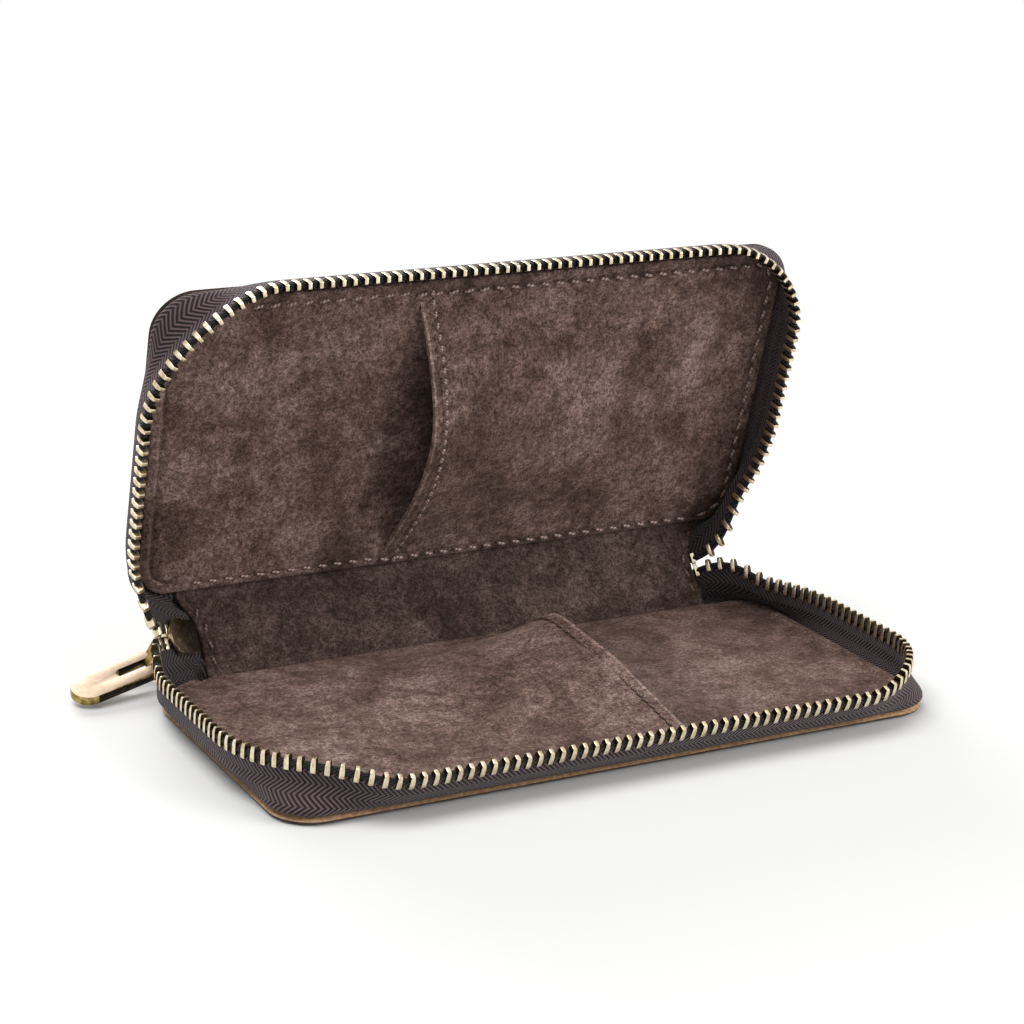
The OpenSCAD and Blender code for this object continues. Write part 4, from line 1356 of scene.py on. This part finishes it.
def back_tape(s, t, hand):
    """The tape's end, whose hem climbs on to the spine and tucks in behind it."""
    foot, _ = on_chain(s, TAPE_END, hand)
    end = CHAIN_L[hand]
    climb = smooth((s - (end - 4)) / 4)
    walk = root_walk(s + 3 * smooth((s - end + 14) / 10), hand)
    hem, ahead = read(outline, np.minimum(walk, OUTLINE_L))
    tuck = np.clip(s - end, 0, None)
    root = np.stack(
        [hem[:, 0] - tuck, hem[:, 1] - HEM_MID * climb, HEM_MID + 6.2 * climb], -1
    )
    root = rolled(root, -SPINE_OPEN * climb, FOLD_Y, FOLD_Z)
    share = climb[:, None]
    out = raised(outward(ahead), 0) * (1 - share) + np.array([1.0, 0, 0]) * share
    foot_open, grip_open = opened(foot, hand), opened(foot - STRAIGHT * UP, hand)
    up_open = (foot_open - grip_open) / STRAIGHT
    return tape_section(root, out, UP, grip_open, foot_open, up_open, t)

# %% [markdown]
# ## Weaving along the chain
#
# Tape and cord are both grids whose columns stand along the chain, closer together where it
# bends. The tape's rows lie on its curve from hem to cord, and the cord's rows go round it.

# %% Tape and cord


def chain_blend(piece, part):
    """Bakes a piece's place into its mesh, front and back pieces alike."""
    if part == "front":
        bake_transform(piece)
    else:
        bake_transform(piece)


def chain_node(side, part, kind):
    """The CAD node that a piece of the chain stands for."""
    return side + ("_front_" if part == "front" else "_") + kind


def stations(hand, part):
    """Where along the chain the woven pieces have their cross lines."""
    start, end = CORNER_S[hand]
    if part == "front":
        us = list(np.linspace(0, start, 36)) + list(np.linspace(start, end, 34)[1:])
        return us + list(np.linspace(end, CHAIN_JOIN[hand], 5)[1:])
    us = list(np.linspace(CHAIN_JOIN[hand], CHAIN_LEAVE[hand], 12))
    return us + list(np.linspace(CHAIN_LEAVE[hand], CHAIN_L[hand], 44)[1:])


def along_chain(side, hand, part, kind, us, vs, rule):
    """A woven piece drawn along the chain by a rule, on one hand of one side."""

    def place(u, v):
        points = rule(u, v, hand)
        if part == "front":
            lean = FLARE[side] * flare_share(points[..., 0])
            points = rolled(points, lean, FRONT_Y, HEM_MID)
        return points * np.array([hand, 1, 1])

    name = f"{side}_{part}_{kind}_{HAND_NAME[hand]}"
    return laid(name, us, vs, place, cloth=lambda u, v: (u, v * TAPE_W))


def hung(piece, side, hand, part, material, *nodes):
    """Takes a woven piece to its side, dresses it, shades it smooth and bakes it in place."""
    to_side(piece, side)
    dressed(piece, material)
    smoothed(piece, 60)
    chain_blend(piece, part)
    stands_for(piece, *nodes)


def tape_piece(side, hand, part):
    """A quarter of the tape."""
    us = stations(hand, part)
    if part == "back":
        us += [CHAIN_L[hand] + 1.2, CHAIN_L[hand] + TUCK]
    rule = front_tape if part == "front" else back_tape
    piece = along_chain(side, hand, part, "tape", us, TAPE_TS, rule)
    if hand < 0:
        piece.data.flip_normals()
    finished(piece, "SOLIDIFY", thickness=TAPE_T * MM, offset=0)
    nodes = chain_node(side, part, "tape"), HAND_NAME[hand] + "_tape_end"
    hung(piece, side, hand, part, tape, *nodes)
    return piece


def cord_piece(side, hand, part):
    """A quarter of the cord: rings along the chain, closed at both ends."""

    def rule(s, turn, hand):
        middle, out = on_chain(s, MID_Z - CORD_DROP, hand)
        a = turn[:, None] * 2 * math.pi
        ring = middle + CORD_R * (np.cos(a) * out + np.sin(a) * UP)
        return ring if part == "front" else opened(ring, hand)

    piece = along_chain(side, hand, part, "cord", stations(hand, part), CORD_TURNS, rule)
    in_edit(piece, WELD, (bpy.ops.mesh.fill_holes, {"sides": 0}), FACE_OUT)
    # The cord's near-black yarn is painted shade under the teeth.
    hung(piece, side, hand, part, cord_painted_shade, chain_node(side, part, "cord"))


for side in SIDES:
    for hand in (1, -1):
        for part in ("front", "back"):
            ribbon = tape_piece(side, hand, part)
            cord_piece(side, hand, part)
    print(side, "tape:", len(ribbon.data.polygons), "faces in a quarter")

# %% [markdown]
# ## Teeth
#
# A tooth is stamped from brass wire: two jaws on the cord and a blunt head that tapers. One is
# modelled and copied all along the chain. Its flanks, which face the next teeth, are dark brass
# as painted shade between the teeth, except on the lid's left back row, which is bright all
# over.

# %% Teeth
BEFORE_STOP = 3.6
JAW_W, HEAD_W = 1.35, 1.05
JAW_T, HEAD_T = 2.3, 1.6
TOOTH_FOOT, TOOTH_TALL = -3.2, 3.5


def copied(name, model, places):
    """Copies of a model at the places, joined into one piece."""
    copies = []
    for place in places:
        twin = twin_of(model, name)
        m = Matrix(place)
        m.translation *= MM
        twin.data.transform(m)
        copies.append(twin)
    return merged(name, copies)


def axes(place, along, up, slant=0.0):
    """A frame at a place, with x along and z up, as a matrix in mm."""
    z = Vector(up).normalized()
    x = Matrix.Rotation(slant, 3, z) @ Vector(along).normalized()
    z = (z - x * z.dot(x)).normalized()
    y = z.cross(x)
    m = Matrix((x, y, z)).transposed().to_4x4()
    m.translation = Vector(place)
    return m


def new_tooth(flank):
    """The model of a tooth: a cube cut in three each way, tapered and bevelled."""
    tooth = started("tooth_model", bpy.ops.mesh.primitive_cube_add, size=1)
    in_edit(tooth, (bpy.ops.mesh.subdivide, {"number_cuts": 2}))
    dressed(tooth, bright_brass, flank)
    for vertex in tooth.data.vertices:
        x, y, z = vertex.co
        head = smooth(np.array([(z - 0.05) / 0.45]))[0]
        wide = JAW_W - (JAW_W - HEAD_W) * head
        thick = JAW_T - (JAW_T - HEAD_T) * head
        vertex.co = Vector((x * wide, y * thick, TOOTH_FOOT + (z + 0.5) * TOOTH_TALL)) * MM
    # Flanks facing the next teeth take the flank brass: dark as painted shade, or bright where
    # a row has none.
    for face in tooth.data.polygons:
        face.material_index = int(abs(face.normal.x) > 0.8)
    finished(tooth, "BEVEL", width=0.28 * MM, segments=2, angle_limit=math.radians(50))
    return smoothed(tooth, 35)


def tooth_frame(side, hand, s):
    """Where the tooth at s stands, with the case half open."""
    place, out = on_chain(np.array([s]), MID_Z, hand)
    if s < CHAIN_JOIN[hand]:
        lean = turned(FLARE[side] * float(flare_share(place[0, 0])), FRONT_Y, HEM_MID)
    else:
        lean = turned(-SPINE_OPEN * float(open_share(place, hand)[0]), FOLD_Y, FOLD_Z)
    x, y, z = place[0]
    along = (-out[0, 1], out[0, 0] * hand, 0)
    return lean @ axes((x * hand, y, z), along, (0, 0, 1))


# One tooth with painted shade on its flanks, and one bright all over.
tooth, unshaded_tooth = new_tooth(dark_brass), new_tooth(bright_brass)
for side, shift in (("base", 0), ("lid", 0.5)):
    for hand in (1, -1):
        join, last = CHAIN_JOIN[hand], CHAIN_L[hand] - BEFORE_STOP
        steps = [(k + shift) * PITCH for k in range(120)]
        rows = {
            "front": [s for s in steps if s < join and (s > 0 or hand > 0)],
            "back": [s for s in steps if join <= s < last],
        }
        for part, at in rows.items():
            name = f"{side}_{part}_teeth_{HAND_NAME[hand]}"
            # The lid's left back row has no painted shade on its flanks.
            model = unshaded_tooth if name == "lid_back_teeth_left" else tooth
            row = copied(name, model, [tooth_frame(side, hand, s) for s in at])
            to_side(row, side)
            chain_blend(row, part)
            nodes = chain_node(side, part, "teeth"), HAND_NAME[hand] + "_end_teeth"
            stands_for(row, *nodes)
            print(name, len(at), "teeth")
for model in (tooth, unshaded_tooth):
    bpy.data.objects.remove(model)

# %% [markdown]
# ## Stitches
#
# A stitch is modelled like a tooth and copied along its row. It is a sphere drawn out long,
# with both its ends pulled down into the hide. It lies a little aslant, as two needles leave
# it. The stitches along a pocket's mouth are shorter and closer together.

# %% Stitches
STITCH_W, STITCH_H, ENDS_DOWN, IN_HOLES = 0.85, 0.72, 0.55, 0.3
FOLD_ROW_L, ROW_CLEAR = 144, 8

length, points, heading = outline
sewn = path_of(points - STITCH_INSET * outward(heading))
SEWN_COUNT = int((sewn[0][-1] - ROW_CLEAR) / STITCH_PITCH) + 1


def new_stitch(thread, long):
    """The model of a stitch."""
    sphere = bpy.ops.mesh.primitive_uv_sphere_add
    stitch = started("stitch_model", sphere, segments=8, ring_count=8, radius=0.5)
    for vertex in stitch.data.vertices:
        x, y, z = vertex.co
        drop = ENDS_DOWN * (2 * z) ** 4
        vertex.co = Vector((z * (long + IN_HOLES), y * STITCH_W, x * STITCH_H - drop)) * MM
    in_edit(stitch, FACE_OUT)
    smoothed(stitch, 80)
    return dressed(stitch, thread)


def top_of(side, x, y):
    """Height of what a stitch lies on: the lining, or the pocket over it."""
    u, v = pocket_uv(side, x, y)
    if 0 <= u <= 1 and 0 <= v <= 1:
        return pocket_point(side, np.array([u]), np.array([v]))[0, 2] + SUEDE_T
    return PANEL_T


def sewn_row(side, inside):
    """The row round a panel, on its lining or on its leather."""
    frames = []
    for hand in (1, -1):
        for k in range(SEWN_COUNT):
            place, ahead = read(sewn, np.array([(k + 0.5) * STITCH_PITCH]))
            x, y = place[0, 0] * hand, place[0, 1]
            along = (ahead[0, 0] * hand, ahead[0, 1], 0)
            if inside:
                sunk = 0.8 if abs(x) > CORNER_X else 0.15
                z = top_of(side, x, y) - sunk
                frames.append(axes((x, y, z), along, (0, 0, 1), hand * STITCH_SLANT))
            else:
                frames.append(axes((x, y, 0.4), along, (0, 0, -1), -hand * STITCH_SLANT))
    return frames


def fold_row(side):
    """The row along a lining's straight back edge."""
    count = int(FOLD_ROW_L / STITCH_PITCH)
    y = LINING_BACK - FOLD_ROW
    frames = []
    for k in range(count):
        x = (k - (count - 1) / 2) * STITCH_PITCH
        place = (x, y, top_of(side, x, y) - 0.1)
        frames.append(axes(place, (1, 0, 0), (0, 0, 1), STITCH_SLANT))
    return frames


def mouth_row(side):
    """The row along a pocket's mouth."""

    def at(v):
        x = mouth_x(side, v) + CLOSED_HAND[side] * MOUTH_INSET
        u, _ = pocket_uv(side, x, pocket_y(v))
        return pocket_point(side, np.array([u]), np.array([v]))[0]

    count = int((POCKET_BACK - POCKET_FRONT) / MOUTH_PITCH)
    frames = []
    for k in range(count):
        v = (k + 0.5) / count
        ahead = at(v + 0.005) - at(v - 0.005)
        up = np.cross(ahead, [1.0, 0, 0])
        up = up if up[2] > 0 else -up
        p = at(v) + np.array([0, 0, SUEDE_T - 0.05])
        frames.append(axes(p, ahead, up, STITCH_SLANT))
    return frames


def spine_row(side, inside):
    """Half of the rows across the spine's ends, on the lining or on the leather."""
    frames = []
    depth = PANEL_T - 0.05 if inside else 0.4
    c, s = math.cos(SPINE_OPEN), math.sin(SPINE_OPEN)
    along, up = (0, s, c), (0, -c, s) if inside else (0, c, -s)
    for hand in (1, -1):
        for k in range(2 if inside else 3):
            z = MID_Z - (k + 0.5) * STITCH_PITCH
            x = SPINE_HALF - END_INSET + (strip_flare(side, z - FOLD_Z) if inside else 0)
            place = np.array([[hand * x, BACK_Y - depth, z]])
            p = rolled(place, np.array([-SPINE_OPEN]), FOLD_Y, FOLD_Z)[0]
            frames.append(axes(p, along, up, STITCH_SLANT))
    return frames

# %% [markdown]
# ## Sewing the rows
#
# Each side has five rows: round its lining, round its leather, along its pocket's mouth, and
# across the spine's ends, inside and outside. The thread is paler on the linings, and darker,
# as painted shade, where it lies deep in its furrow.

# %% Sewing
for side in SIDES:
    inner = sewn_row(side, True) + (fold_row(side) if side == "lid" else [])
    outer_node = "lid_cover_stitching" if side == "lid" else "base_stitching"
    # The base's mouth row takes the thread with painted shade.
    mouth_thread = thread_in if side == "lid" else thread_painted_shade
    for kind, body, frames, thread, node in (
        ("inner", side, inner, thread_in, side + "_stitching"),
        ("outer", side, sewn_row(side, False), thread_out, outer_node),
        ("mouth", side, mouth_row(side), mouth_thread, side + "_pocket_stitching"),
        ("spine", "spine", spine_row(side, True), thread_painted_shade, "spine_stitching"),
        ("spine_outer", "spine", spine_row(side, False), thread_out, "spine_stitching"),
    ):
        model = new_stitch(thread, MOUTH_L if kind == "mouth" else STITCH_L)
        row = copied(f"{side}_{kind}_stitches", model, frames)
        bpy.data.objects.remove(model)
        to_side(row, side)
        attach(row, body)
        stands_for(row, node)
        print(row.name, len(frames), "stitches")

# %% [markdown]
# ## Slider and pull
#
# Slider, bridge, link and pull are cast in zinc and plated in antique brass. Their shapes
# come from the CAD. A copy of each is welded, its flat faces are cleaned, and its edges get a
# small bevel. Bevels and small faces take a brighter brass as painted highlight, and long
# walls mostly a dark one as painted shade.

# %% Slider and pull
WALL_AREA = 12 * MM**2


def plated(node, body, bevel, face, edge, wall):
    """A copy of a casting, welded and bevelled, with a finish for its broad faces, painted
    highlight on its small ones with the bevels, and mostly painted shade on its long walls."""
    piece = twin_of(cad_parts[node], node + "_brass")
    in_edit(
        piece,
        (bpy.ops.mesh.remove_doubles, {"threshold": 2e-6}),
        (bpy.ops.mesh.dissolve_limited, {"angle_limit": math.radians(2)}),
    )
    dressed(piece, face, edge, wall)
    broad = max(piece.data.polygons, key=lambda p: p.area).normal.copy()
    # Small faces and bevels take the painted highlight brass; long walls take the wall brass,
    # mostly painted shade.
    for p in piece.data.polygons:
        if abs(p.normal.dot(broad)) < 0.3:
            p.material_index = 2 if p.area > WALL_AREA else 1
    finished(
        piece,
        "BEVEL",
        width=bevel * MM,
        segments=2,
        limit_method="ANGLE",
        angle_limit=math.radians(35),
        material=1,
        use_clamp_overlap=True,
    )
    smoothed(piece, 35)
    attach(piece, body)
    stands_for(piece, node)
    print(piece.name, len(piece.data.polygons), "faces")


# Columns: node, body, bevel, broad faces, small faces and bevels (painted highlight), long
# walls (painted shade, but painted highlight on the slider body).
for casting in (
    ("slider_body", "slider", 0.45, dark_brass, bright_brass, bright_brass),
    ("slider_bridge", "slider", 0.2, dark_brass, gold_brass, dark_brass),
    ("pull_link", "link", 0.2, gold_brass, gold_brass, dark_brass),
    ("pull_tab", "pull", 0.4, worn_brass, gold_brass, dark_brass),
    ("pull_pin", "pull", 0.1, bright_brass, gold_brass, gold_brass),
    ("bottom_stop", "spine", 0.15, gold_brass, bright_brass, dark_brass),
    ("top_stops", "spine", 0.15, gold_brass, bright_brass, dark_brass),
):
    plated(*casting)
